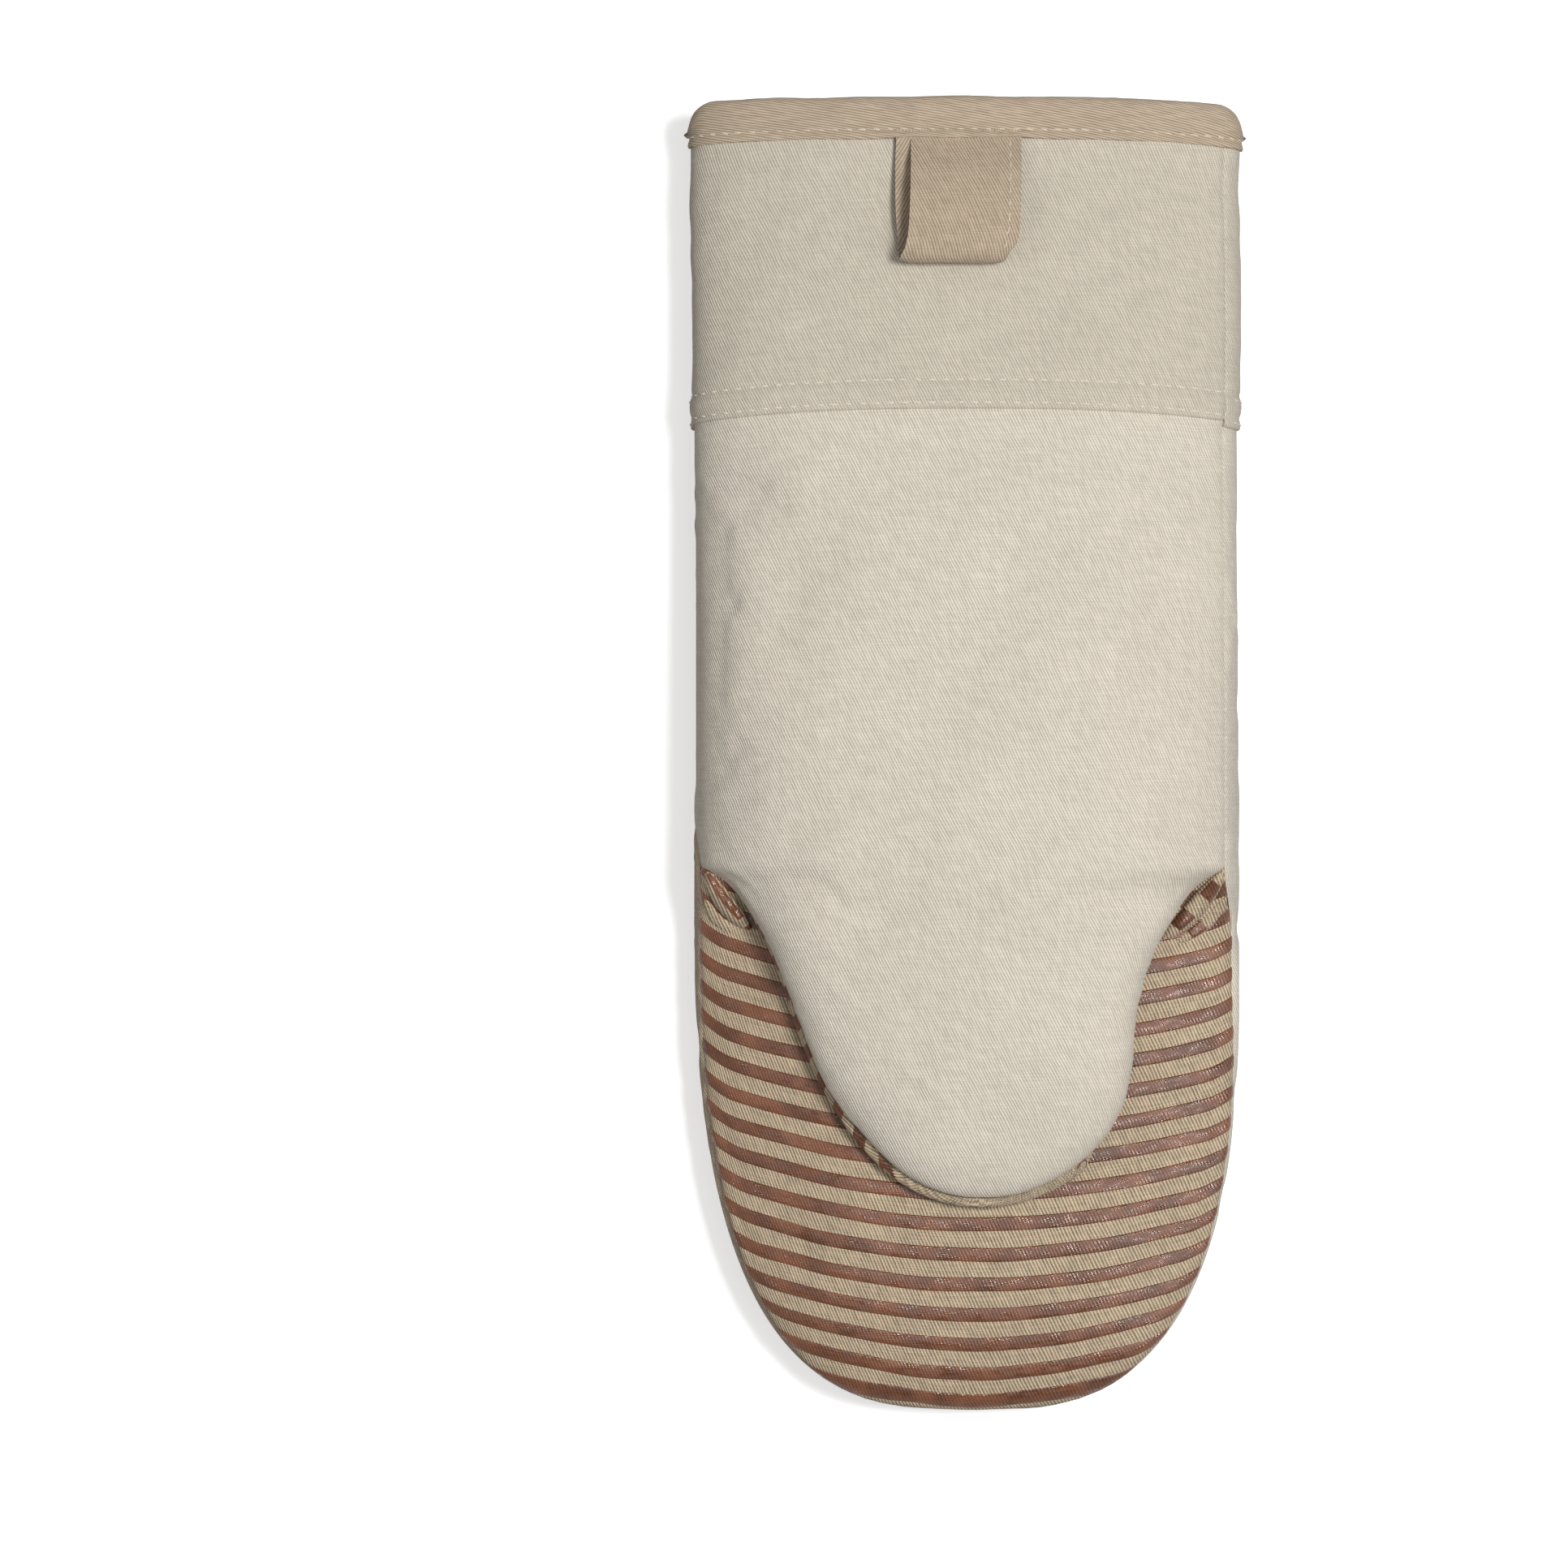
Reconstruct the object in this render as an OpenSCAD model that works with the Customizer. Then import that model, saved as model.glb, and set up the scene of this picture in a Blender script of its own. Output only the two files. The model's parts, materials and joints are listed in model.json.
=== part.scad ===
// Oven mitt with a jaw-like thumb, lying flat on the back of its hand.
// +Y points out of the cuff, +Z points up out of the palm and the thumb.
// The origin is on the resting face, at the middle of the outline.

/* [Mitt] */
// Overall length from the cuff edge to the fingertip
mitt_length = 330; // [300:1:350]
// Half of the width across the hand
hand_half_w = 68.5; // [64:0.5:72]
// Height of the side seams above the table
seam_z = 13; // [12:0.5:14]
// Half thickness of the back before the table flattens it
back_h = 15.5; // [14.5:0.5:17]
// Rise of the palm above the side seams at the cuff
cuff_h = 15; // [13:0.5:17]
// Rise of the finger pocket above the side seams
finger_h = 12; // [11:0.5:13]
// How far the cuff edge hovers above the table
cuff_hover = 4; // [3:0.5:5]

/* [Layers] */
// Thickness of the twill fabric
twill_t = 0.8; // [0.6:0.1:1]
// Thickness of the wadding
batting_t = 2.8; // [2:0.1:3]
// Thickness of the lining
lining_t = 0.8; // [0.6:0.1:1]

/* [Thumb] */
// Distance of the mouth line from the middle of the mitt, towards the fingers
mouth_y = -30; // [-34:1:-28]
// Length of the thumb from the mouth line to its tip
thumb_length = 80.5; // [76:0.5:82]
// Half width of the thumb at its middle
thumb_half_w = 41; // [36:0.5:44]
// Rise of the thumb above its own seam
thumb_h = 11.3; // [10:0.1:13]
// Depth of the gripping side of the thumb below its seam
thumb_grip_h = 6; // [5.6:0.1:7]
// Clear gap between the thumb and the finger pocket
thumb_gap = 1.2; // [1:0.1:2]

/* [Cuff] */
// Height of the bound edge
binding_height = 10.2; // [8:0.2:12]
// Height of the cuff band above the middle of the mitt, at its folded edge
cuff_fold_y = 86.7; // [80:0.1:92]
// Sideways place of the seam between the two back panels
accent_x = -15; // [-20:1:-10]

/* [Grip] */
// Distance from one silicone stripe to the next
stripe_pitch = 7.57; // [7:0.01:8]
// Width of a silicone stripe
stripe_w = 3.5; // [3:0.1:4]
// Thickness of a silicone stripe
stripe_t = 0.3; // [0.2:0.05:0.35]

/* [Loop and label] */
// Length of the hanging loop
loop_length = 32; // [28:1:34]
// Width of the loop's tape
loop_w = 28; // [24:1:30]
// Thickness of the loop's tape
tape_t = 1; // [0.8:0.1:1.2]
// Outer radius of the loop's fold
loop_r = 3.7; // [3.5:0.1:4.6]
// Width of the woven label
label_w = 56.5; // [50:0.5:57]
// Height of the woven label
label_h = 15; // [12:0.5:16]

/* [Hidden] */

CREAM = "#cdc2b1";
TAN = "#b3a188";
BROWN = "#84604c";
SILVER = "#a9a8ad";
WADDING = "#efece4";
LINING = "#d9cfbe";
THREAD = "#e6dccb";

// Depths of the layers below the outer face of the fabric
d_batting = twill_t;
d_lining = d_batting + batting_t;
d_cavity = d_lining + lining_t;

// Ends of the mitt and of its main lengths
cuff_y = mitt_length / 2;
tip_y = -mitt_length / 2;
binding_y = cuff_y - binding_height;
wall_top_y = cuff_y - 1.6;
curl_y = -113.3;
joint_gap = 0.3;

// The outline is straight down to round_y, then a superellipse down to the tip
round_y = -50;
outline_n = 2.7;
thin_y = -110;
thin_n = 2.2;
section_n = 2.6;
min_w = 1.5;
hover_y = 30;

// The thumb flares at its root, and is round at its tip
flare_w = 24;
flare_len = 45;
thumb_thin_t = 50;
mouth_top_z = seam_z + finger_h + thumb_gap + thumb_grip_h + thumb_h;
mouth_h = mouth_top_z - seam_z;

// Folded hem of the cuff band
hem_y = 95;
hem_flat_y = 97;
panel_top_y = 94.6;
hem_lift = 0.05;
thread_t = 0.25;
thread_w = 0.6;
seam_half_w = 0.3;

// Columns across the mitt and rows along it
top_columns = 14;
accent_columns = 6;
main_columns = 8;
thumb_columns = 12;
palm_rows = [wall_top_y, binding_y, 138, 118, hem_flat_y, hem_y, panel_top_y, cuff_fold_y, 60, 30, 0, -18,
             mouth_y + 0.4];
finger_rows = [mouth_y + 0.4, -50, -72, -94, curl_y + joint_gap];
tip_steps = [0, 0.22, 0.4, 0.56, 0.7, 0.82, 0.91, 0.965, 1];
thumb_rows = [0.4, 6, 14, 24, 36, 49];
thumb_tip_steps = [0.4, 0.6, 0.76, 0.88, 0.96, 1];

// A row is [y on the outer face, share of the depth that it moves back by]
function flat_rows(ys, high, low) = [for (y = ys) if (y <= high + 0.01 && y >= low - 0.01) [y, 0]];
function end_rows(start_y, length, steps) = [for (s = steps) [start_y - length * sin(90 * s), sin(90 * s)]];
PALM = flat_rows(palm_rows, cuff_y, mouth_y);
BAND = flat_rows(palm_rows, cuff_y, cuff_fold_y);
PANEL = flat_rows(palm_rows, panel_top_y, mouth_y);
BACK = concat(PALM, flat_rows(finger_rows, -40, curl_y));
BACK_PANEL = concat(PANEL, flat_rows(finger_rows, -40, curl_y));
FINGERS = flat_rows(finger_rows, cuff_y, curl_y);
FINGERTIP = end_rows(curl_y - joint_gap, curl_y - joint_gap - tip_y, tip_steps);
THUMB = concat(
    [for (t = thumb_rows) [mouth_y - t, 0]],
    end_rows(mouth_y - thumb_rows[5], thumb_length - thumb_rows[5], thumb_tip_steps)
);

// Shape of the mitt
function smooth(t) = let (c = min(1, max(0, t))) c * c * (3 - 2 * c);
function falloff(s, length, n) = s <= 0 ? 1 : s >= length ? 0 : pow(1 - pow(s / length, n), 1 / n);
function section_x(a) = sign(cos(a)) * pow(abs(cos(a)), 2 / section_n);
function section_z(a) = pow(abs(sin(a)), 2 / section_n);
function dome(u) = pow(1 - pow(min(1, abs(u)), section_n), 1 / section_n);
function angle_at(x, w) = let (c = min(0.96, pow(abs(x) / w, section_n / 2))) x >= 0 ? acos(c) : 180 - acos(c);
function hand_w(y, d) = max(min_w, (hand_half_w - d) * falloff(round_y - y, round_y - tip_y - d, outline_n));
function thin(y, d) = falloff(thin_y - y, thin_y - tip_y - d, thin_n);
function table_z(y) = cuff_hover * smooth((y - hover_y) / (binding_y - hover_y));
function palm_h(y) = cuff_h + (mouth_h - cuff_h) * smooth((cuff_y - y) / (cuff_y - mouth_y));
function finger_z(x, y) = seam_z + finger_h * thin(y, 0) * dome(x / hand_w(y, 0));

// Points of the palm, of the finger pocket and of the back at an angle round the section
function palm_point(a, y, d) = [hand_w(y, d) * section_x(a), y, seam_z + (palm_h(y) - d) * section_z(a)];
function finger_point(a, y, d) =
    [hand_w(y, d) * section_x(a), y, seam_z + (finger_h - d) * thin(y, d) * section_z(a)];
function back_point(a, y, d) =
    [hand_w(y, d) * section_x(a), y,
     max(table_z(y) + d, seam_z - (back_h - d) * thin(y, d) * section_z(a))];

// Shape of the thumb, which is draped over the finger pocket
function thumb_w(y, d) =
    let (t = mouth_y - y, flare = flare_w * pow(max(0, 1 - t / flare_len), 2))
    max(min_w, (thumb_half_w - d) * falloff(t - flare_len, thumb_length - flare_len - d, 2) + flare);
function thumb_thin(y, d) = falloff(mouth_y - y - thumb_thin_t, thumb_length - thumb_thin_t - d, thin_n);
function thumb_mid_z(x, y) = finger_z(x, y) + thumb_gap + thumb_grip_h;
function thumb_point(a, y, d, h) =
    let (x = thumb_w(y, d) * section_x(a))
    [x, y, thumb_mid_z(x, y) + h * thumb_thin(y, d) * section_z(a)];

// Angles of the columns across the palm and across the back, where two columns border the accent seam
function palm_angles() = [for (j = [0:top_columns]) 180 * j / top_columns];
function back_angles(y, d) =
    let (w = hand_w(y, d), a = angle_at(accent_x + seam_half_w, w),
         b = min(angle_at(accent_x - seam_half_w, w) + (w < 20 ? 2 : 0), 170))
    concat([for (j = [0:main_columns]) a * j / main_columns],
           [for (j = [0:accent_columns]) b + (180 - b) * j / accent_columns]);

// Grids of points at one depth, row by row
function palm_grid(rows, d) = [for (r = rows) [for (a = palm_angles()) palm_point(a, r[0] + r[1] * d, d)]];
function finger_grid(rows, d) = [for (r = rows) [for (a = palm_angles()) finger_point(a, r[0] + r[1] * d, d)]];
function back_grid(rows, d, first = 0, last = main_columns + accent_columns + 1) =
    [for (r = rows) let (y = r[0] + r[1] * d, angles = back_angles(y, d))
        [for (j = [first:last]) back_point(angles[j], y, d)]];
function thumb_grid(rows, d, h) =
    [for (r = rows) [for (j = [0:thumb_columns]) thumb_point(180 * j / thumb_columns, r[0] + r[1] * d, d, h)]];

// The cuff band is lifted over the panels along its hem
function hem_d(y, d) = y > hem_y + 0.5 ? d : d - twill_t - hem_lift;

// A closed solid between two grids of the same size
module sheet(outer, inner, flip = false) {
    rows = len(outer);
    columns = len(outer[0]);
    points = concat([for (r = outer) each r], [for (r = inner) each r]);
    function o(i, j) = i * columns + j;
    function n(i, j) = rows * columns + i * columns + j;
    function quad(a, b, c, d) = [[a, b, c], [a, c, d]];
    faces = [
        for (i = [0:rows - 2], j = [0:columns - 2]) each quad(o(i, j), o(i + 1, j), o(i + 1, j + 1), o(i, j + 1)),
        for (i = [0:rows - 2], j = [0:columns - 2])
            each [[n(i, j), n(i + 1, j + 1), n(i + 1, j)], [n(i, j), n(i, j + 1), n(i + 1, j + 1)]],
        for (i = [0:rows - 2]) each quad(o(i, 0), n(i, 0), n(i + 1, 0), o(i + 1, 0)),
        for (i = [0:rows - 2])
            each quad(o(i, columns - 1), o(i + 1, columns - 1), n(i + 1, columns - 1), n(i, columns - 1)),
        for (j = [0:columns - 2]) each quad(o(0, j), o(0, j + 1), n(0, j + 1), n(0, j)),
        for (j = [0:columns - 2])
            each quad(o(rows - 1, j), n(rows - 1, j), n(rows - 1, j + 1), o(rows - 1, j + 1))
    ];
    turned = [for (f = faces) [f[0], f[2], f[1]]];
    polyhedron(points, flip ? faces : turned, convexity = 8);
}

module palm_layer(rows, from, to) {
    sheet(palm_grid(rows, from), palm_grid(rows, to));
}

module finger_layer(rows, from, to) {
    sheet(finger_grid(rows, from), finger_grid(rows, to));
}

module back_layer(rows, from, to, first = 0, last = main_columns + accent_columns + 1) {
    sheet(back_grid(rows, from, first, last), back_grid(rows, to, first, last), flip = true);
}

module thumb_layer(from, to) {
    sheet(thumb_grid(THUMB, from, thumb_h - from), thumb_grid(THUMB, to, thumb_h - to));
}

module thumb_grip_layer(from, to) {
    sheet(thumb_grid(THUMB, from, from - thumb_grip_h), thumb_grid(THUMB, to, to - thumb_grip_h), flip = true);
}

// Ring round the cuff edge that holds the raw edges in its fold
module cuff_binding() {
    face_t = 0.9;
    slack = 0.05;
    inner_d = d_cavity + face_t;
    // Each point of the fold is [depth, y]
    fold = [
        [-face_t, binding_y], [-face_t, cuff_y - 1.5], [0, cuff_y - 0.3], [0.8, cuff_y], [d_cavity - 0.8, cuff_y],
        [d_cavity, cuff_y - 0.3], [inner_d, cuff_y - 1.5], [inner_d, binding_y], [d_cavity + slack, binding_y],
        [d_cavity + slack, wall_top_y + slack], [-slack, wall_top_y + slack], [-slack, binding_y]
    ];
    back = back_angles(cuff_y, 0);
    around = concat([for (a = palm_angles()) a], [for (j = [len(back) - 2:-1:1]) 360 - back[j]]);
    function ring_point(a, p) = a <= 180 ? palm_point(a, p[1], p[0]) : back_point(360 - a, p[1], p[0]);
    size = len(fold);
    turns = len(around);
    points = [for (a = around, p = fold) ring_point(a, p)];
    faces = [for (k = [0:turns - 1], m = [0:size - 1])
        let (a = k * size + m, b = k * size + (m + 1) % size,
             c = ((k + 1) % turns) * size + (m + 1) % size, d = ((k + 1) % turns) * size + m)
        each [[a, c, b], [a, d, c]]];
    color(TAN) polyhedron(points, faces, convexity = 8);
}

module cuff_band_palm() {
    grid = function(d) [for (r = BAND) [for (a = palm_angles()) palm_point(a, r[0], hem_d(r[0], d))]];
    color(CREAM) sheet(grid(0), grid(twill_t));
}

module cuff_band_back() {
    grid = function(d) [for (r = BAND) [for (a = back_angles(r[0], d)) back_point(a, r[0], hem_d(r[0], d))]];
    color(CREAM) sheet(grid(0), grid(twill_t), flip = true);
}

module palm_panel() {
    color(CREAM) palm_layer(PANEL, 0, d_batting);
}

module back_panel() {
    color(CREAM) back_layer(BACK_PANEL, 0, d_batting, 0, main_columns);
}

module accent_panel() {
    color(TAN) back_layer(BACK_PANEL, 0, d_batting, main_columns + 1);
}

module accent_seam_thread() {
    color(THREAD) back_layer(BACK_PANEL, 0, d_batting, main_columns, main_columns + 1);
}

module finger_grip_panel() {
    color(CREAM) finger_layer(FINGERS, 0, d_batting);
}

// Printed stripes, one solid each, centred at the given places along the mitt
module stripes_on_fingers(centres) {
    for (y = centres) finger_layer([[y + stripe_w / 2, 0], [y - stripe_w / 2, 0]], -stripe_t, 0);
}

first_stripe_y = curl_y - stripe_pitch / 2;
finger_stripes = [for (k = [1:10]) first_stripe_y + k * stripe_pitch];
fingertip_stripes = [for (k = [0:5]) first_stripe_y - k * stripe_pitch];

module finger_grip_stripes() {
    color(BROWN) stripes_on_fingers(finger_stripes);
}

module palm_batting() {
    color(WADDING) palm_layer(PALM, d_batting, d_lining);
}

module back_batting() {
    color(WADDING) back_layer(BACK, d_batting, d_lining);
}

module finger_batting() {
    color(WADDING) finger_layer(FINGERS, d_batting, d_lining);
}

module palm_lining() {
    color(LINING) palm_layer(PALM, d_lining, d_cavity);
}

module back_lining() {
    color(LINING) back_layer(BACK, d_lining, d_cavity);
}

module finger_lining() {
    color(LINING) finger_layer(FINGERS, d_lining, d_cavity);
}

// Rows of thread across the cuff, on the hem of the band
stitch_rows = [cuff_fold_y + 1.6, cuff_fold_y + 7.3];
band_face_d = -twill_t - hem_lift;

module cuff_topstitch_palm() {
    color(THREAD) for (y = stitch_rows)
        palm_layer([[y + thread_w / 2, 0], [y - thread_w / 2, 0]], band_face_d - thread_t, band_face_d);
}

module cuff_topstitch_back() {
    color(THREAD) for (y = stitch_rows)
        back_layer([[y + thread_w / 2, 0], [y - thread_w / 2, 0]], band_face_d - thread_t, band_face_d);
}

module binding_stitch() {
    face_d = -0.9;
    y = binding_y + 2.2;
    rows = [[y + thread_w / 2, 0], [y - thread_w / 2, 0]];
    color(THREAD) {
        palm_layer(rows, face_d - thread_t, face_d);
        back_layer(rows, face_d - thread_t, face_d);
    }
}

// Thread along the side seam, which rolls onto the palm on the +X side
module side_seam_stitch() {
    seam_angle = 24;
    half_turn = 0.5;
    module run(high, low) {
        rows = flat_rows(palm_rows, high, low);
        grid = function(d) [for (r = rows, y = [r[0]])
            [for (a = [seam_angle - half_turn, seam_angle + half_turn]) palm_point(a, y, d)]];
        sheet(grid(-thread_t), grid(0));
    }
    color(THREAD) {
        run(binding_y - 1, hem_flat_y);
        run(cuff_fold_y - 1, mouth_y);
    }
}

module thumb_panel() {
    color(CREAM) thumb_layer(0, d_batting);
}

module thumb_grip_panel() {
    color(CREAM) thumb_grip_layer(0, d_batting);
}

module thumb_grip_stripes() {
    lift = 0.08;
    centres = [for (k = [0:8]) mouth_y - 8 - k * stripe_pitch];
    grid = function(y, d) thumb_grid([[y + stripe_w / 2, 0], [y - stripe_w / 2, 0]], d, d - thumb_grip_h);
    color(BROWN) for (y = centres) sheet(grid(y, -stripe_t - lift), grid(y, -lift), flip = true);
}

module thumb_batting() {
    color(WADDING) thumb_layer(d_batting, d_lining);
}

module thumb_grip_batting() {
    color(WADDING) thumb_grip_layer(d_batting, d_lining);
}

module thumb_lining() {
    color(LINING) thumb_layer(d_lining, d_cavity);
}

module thumb_grip_lining() {
    color(LINING) thumb_grip_layer(d_lining, d_cavity);
}

module fingertip_back_panel() {
    color(CREAM) back_layer(FINGERTIP, 0, d_batting, 0, main_columns);
}

module fingertip_accent_panel() {
    color(TAN) back_layer(FINGERTIP, 0, d_batting, main_columns + 1);
}

module fingertip_seam_thread() {
    color(THREAD) back_layer(FINGERTIP, 0, d_batting, main_columns, main_columns + 1);
}

module fingertip_grip_panel() {
    color(CREAM) finger_layer(FINGERTIP, 0, d_batting);
}

module fingertip_grip_stripes() {
    color(BROWN) stripes_on_fingers(fingertip_stripes);
}

module fingertip_back_batting() {
    color(WADDING) back_layer(FINGERTIP, d_batting, d_lining);
}

module fingertip_grip_batting() {
    color(WADDING) finger_layer(FINGERTIP, d_batting, d_lining);
}

module fingertip_back_lining() {
    color(LINING) back_layer(FINGERTIP, d_lining, d_cavity);
}

module fingertip_grip_lining() {
    color(LINING) finger_layer(FINGERTIP, d_lining, d_cavity);
}

// The loop hinges at the lower edge of the binding and lies on the cuff
loop_x = -0.5;
loop_hinge_y = binding_y - 0.6;
loop_hinge_z = seam_z + palm_h(loop_hinge_y) + 1.3;
loop_tilt = 5;
loop_root_t = 1;
loop_neck = 9;
loop_middle_z = loop_r - loop_root_t / 2;

// Outline that runs from its root points out along a flat leg, round a fold of radius r and back
function loop_outline(root, neck, r) = concat(
    root,
    [[-neck, loop_middle_z + r]],
    [for (a = [0:15:180]) [loop_r - loop_length - r * sin(a), loop_middle_z + r * cos(a)]]
);

module place_loop() {
    translate([loop_x, loop_hinge_y, loop_hinge_z]) rotate([-loop_tilt, 0, 0]) children();
}

module hanging_loop() {
    outer_root = [[0, -loop_root_t / 2], [0, loop_root_t / 2]];
    inner_root = [[-3, tape_t - loop_root_t / 2]];
    color(TAN)
    place_loop() rotate([90, 0, 90]) translate([0, 0, -loop_w / 2]) linear_extrude(loop_w) difference() {
        polygon(loop_outline(outer_root, loop_neck, loop_r));
        polygon(loop_outline(inner_root, loop_neck + 0.5, loop_r - tape_t));
    }
}

module loop_edge_stitch() {
    inset = 2.6;
    lead = 1;
    length = loop_length - loop_r - loop_neck - 2 * lead;
    color(THREAD)
    place_loop() translate([loop_w / 2 - inset, -loop_neck - lead - length, loop_middle_z + loop_r])
        cube([thread_w, length, thread_t]);
}

// The label hangs under the back from the folded edge of the cuff band
module woven_label() {
    near_x = 8;
    label_t = 0.35;
    lift = 0.35;
    columns = 8;
    top_y = cuff_fold_y - 0.5;
    grid = function(d) [for (y = [top_y, top_y - label_h / 2, top_y - label_h])
        [for (j = [0:columns]) back_point(angle_at(near_x + label_w * (1 - j / columns), hand_w(y, d)), y, d)]];
    color(SILVER) sheet(grid(-lift - label_t), grid(-lift), flip = true);
}

cuff_binding();
cuff_band_palm();
cuff_band_back();
palm_panel();
back_panel();
accent_panel();
accent_seam_thread();
finger_grip_panel();
finger_grip_stripes();
palm_batting();
back_batting();
finger_batting();
palm_lining();
back_lining();
finger_lining();
cuff_topstitch_palm();
cuff_topstitch_back();
binding_stitch();
side_seam_stitch();
thumb_panel();
thumb_grip_panel();
thumb_grip_stripes();
thumb_batting();
thumb_grip_batting();
thumb_lining();
thumb_grip_lining();
fingertip_back_panel();
fingertip_accent_panel();
fingertip_seam_thread();
fingertip_grip_panel();
fingertip_grip_stripes();
fingertip_back_batting();
fingertip_grip_batting();
fingertip_back_lining();
fingertip_grip_lining();
hanging_loop();
loop_edge_stitch();
woven_label();
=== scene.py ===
"""Oven mitt: covers, wadding, linings, silicone stripes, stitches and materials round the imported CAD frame.

Shapes are worked out in millimetres, with +Y out of the cuff and +Z out of the palm, and written as metres.
A surface is an array of points [row, column, xyz]. Rows run from the cuff to the tip. Columns run
anticlockwise as seen from the cuff: from +X over the palm to -X, and from -X under the back to +X.
"""
import json
import math

import bmesh
import bpy
import numpy as np
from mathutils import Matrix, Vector


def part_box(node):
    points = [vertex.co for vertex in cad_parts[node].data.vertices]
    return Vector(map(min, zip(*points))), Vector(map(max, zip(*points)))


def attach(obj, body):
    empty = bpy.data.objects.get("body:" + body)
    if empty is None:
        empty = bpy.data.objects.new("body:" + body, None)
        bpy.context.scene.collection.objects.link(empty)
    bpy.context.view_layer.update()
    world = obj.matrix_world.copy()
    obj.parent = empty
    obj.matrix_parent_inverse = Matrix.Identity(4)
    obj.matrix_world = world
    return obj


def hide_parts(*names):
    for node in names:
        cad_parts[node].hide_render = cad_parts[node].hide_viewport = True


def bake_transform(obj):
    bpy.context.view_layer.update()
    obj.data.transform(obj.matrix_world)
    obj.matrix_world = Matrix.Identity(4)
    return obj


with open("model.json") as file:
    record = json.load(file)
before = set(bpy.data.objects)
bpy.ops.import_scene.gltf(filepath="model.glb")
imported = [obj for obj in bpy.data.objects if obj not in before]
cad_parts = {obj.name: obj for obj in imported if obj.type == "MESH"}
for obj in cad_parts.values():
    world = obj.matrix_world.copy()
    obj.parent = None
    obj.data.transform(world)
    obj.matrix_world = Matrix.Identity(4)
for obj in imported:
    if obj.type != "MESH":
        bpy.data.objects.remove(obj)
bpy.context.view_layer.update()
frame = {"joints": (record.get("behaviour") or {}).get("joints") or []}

MM = 0.001


def low(node):
    return np.array(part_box(node)[0]) / MM


def high(node):
    return np.array(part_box(node)[1]) / MM


def pivot(joint):
    found = next(j for j in frame["joints"] if j["name"] == joint)
    return np.array(found["pos_m"]) / MM


# ------------------------------------------------------------------ places taken from the frame
CUFF_Y = high("cuff_binding")[1]
BINDING_Y = low("cuff_binding")[1]
BINDING_STITCH_Y = (low("binding_stitch")[1] + high("binding_stitch")[1]) / 2
HEM_Y = low("cuff_band_palm")[1]
HEM_STITCH_YS = (low("cuff_topstitch_palm")[1] + 0.3, high("cuff_topstitch_palm")[1] - 0.3)
PANEL_TOP_Y = high("palm_panel")[1]
TIP_Y = low("fingertip_grip_panel")[1]
HALF_W = high("finger_grip_panel")[0]
SEAM_Z = low("finger_grip_panel")[2]
FINGER_H = high("finger_grip_panel")[2] - SEAM_Z
CREST_Z = high("palm_panel")[2]
ACCENT_X = (low("accent_seam_thread")[0] + high("accent_seam_thread")[0]) / 2
MOUTH_Y = pivot("thumb_fold")[1]
CURL_Y = pivot("finger_curl")[1]
THUMB_TIP_Y = low("thumb_panel")[1] + 0.2

# ------------------------------------------------------------------ shape of the mitt, in millimetres
SECTION_N = 2.9  # fullness of the cross-section, where 2 is an ellipse
OUTLINE_N = 2.9  # fullness of the fingers' outline
THIN_N = 2.2  # fullness of the fingers' thinning seen from the side
ROUND_Y = -35.0  # the outline narrows from here to the tip
THIN_Y = -110.0  # the fingers thin from here to the tip
CORNER_Y = -28.0  # the two corners of the mouth
PALM_CUFF_H = 15.0  # the palm above the side seams, at the cuff
BACK_H = 15.5  # the back below the side seams
CUFF_HOVER = 4.0  # how far the cuff stands off the table
THUMB_LIFT = 6.5  # the thumb's edge above the fingers
FACING_GAP = 2.6  # the thumb's facing above the fingers
FACING_TUCK = 0.022  # share of the facing's width that is lost for each millimetre inside the mouth
MOUTH_CLEAR = 5.0  # extra room between the facing and the thumb's inner layers near the mouth
BACK_HEM_DROP = 1.6

TWILL_T = 0.8
WADDING_T = 2.8
WADDING_SLACK = 1.0  # room between cover and wadding
LINING_T = 0.8
BAND_LIFT = 0.9
LOOP_T = 0.8
LOOP_W = 27.6
LOOP_BULGE = 1.5  # how far the binding rises over the loop's sewn ends
STRIPE_PITCH = 7.57
STRIPE_W = 3.6
STRIPE_T = 0.24
STITCH_PITCH = 3.5
STITCH_ROWS = 7  # rings of points along a stitch
STITCH_SIDES = 6
ACCENT_STITCH_IN = 3.2  # from the accent seam to the stitches on both sides of it
SIM_STEP = 3  # every third point of a cover is simulated
SINK = 0.25  # how far a simulated cover may sink in


def smooth(t):
    """A soft step from 0 to 1."""
    t = np.clip(t, 0, 1)
    return t * t * (3 - 2 * t)


def falloff(s, length, n):
    """From 1 down to 0 at length, round like a superellipse of power n."""
    r = np.clip(np.asarray(s, float) / length, 0, 1)
    return (1 - r**n) ** (1 / n)


def dome(c):
    """Height of the cross-section's arch at c, from -1 to 1 across it."""
    return (1 - np.clip(np.abs(c), 0, 1) ** SECTION_N) ** (1 / SECTION_N)


def cosp(a):
    """Place across the arch at angle a."""
    return np.sign(np.cos(a)) * np.abs(np.cos(a)) ** (2 / SECTION_N)


def sinp(a):
    """Height of the arch at angle a."""
    return np.abs(np.sin(a)) ** (2 / SECTION_N)


def ripple(x, y, wavelength, seed, waves=9):
    """Soft random relief of about unit height, the same every time for a seed."""
    rng = np.random.default_rng(seed)
    total = np.zeros(np.broadcast(x, y).shape)
    for _ in range(waves):
        angle = rng.uniform(0, 2 * math.pi)
        length = wavelength * rng.uniform(0.7, 1.6)
        phase = rng.uniform(0, 2 * math.pi)
        total += np.sin(2 * math.pi * (x * math.cos(angle) + y * math.sin(angle)) / length + phase)
    return total / math.sqrt(waves)


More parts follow.
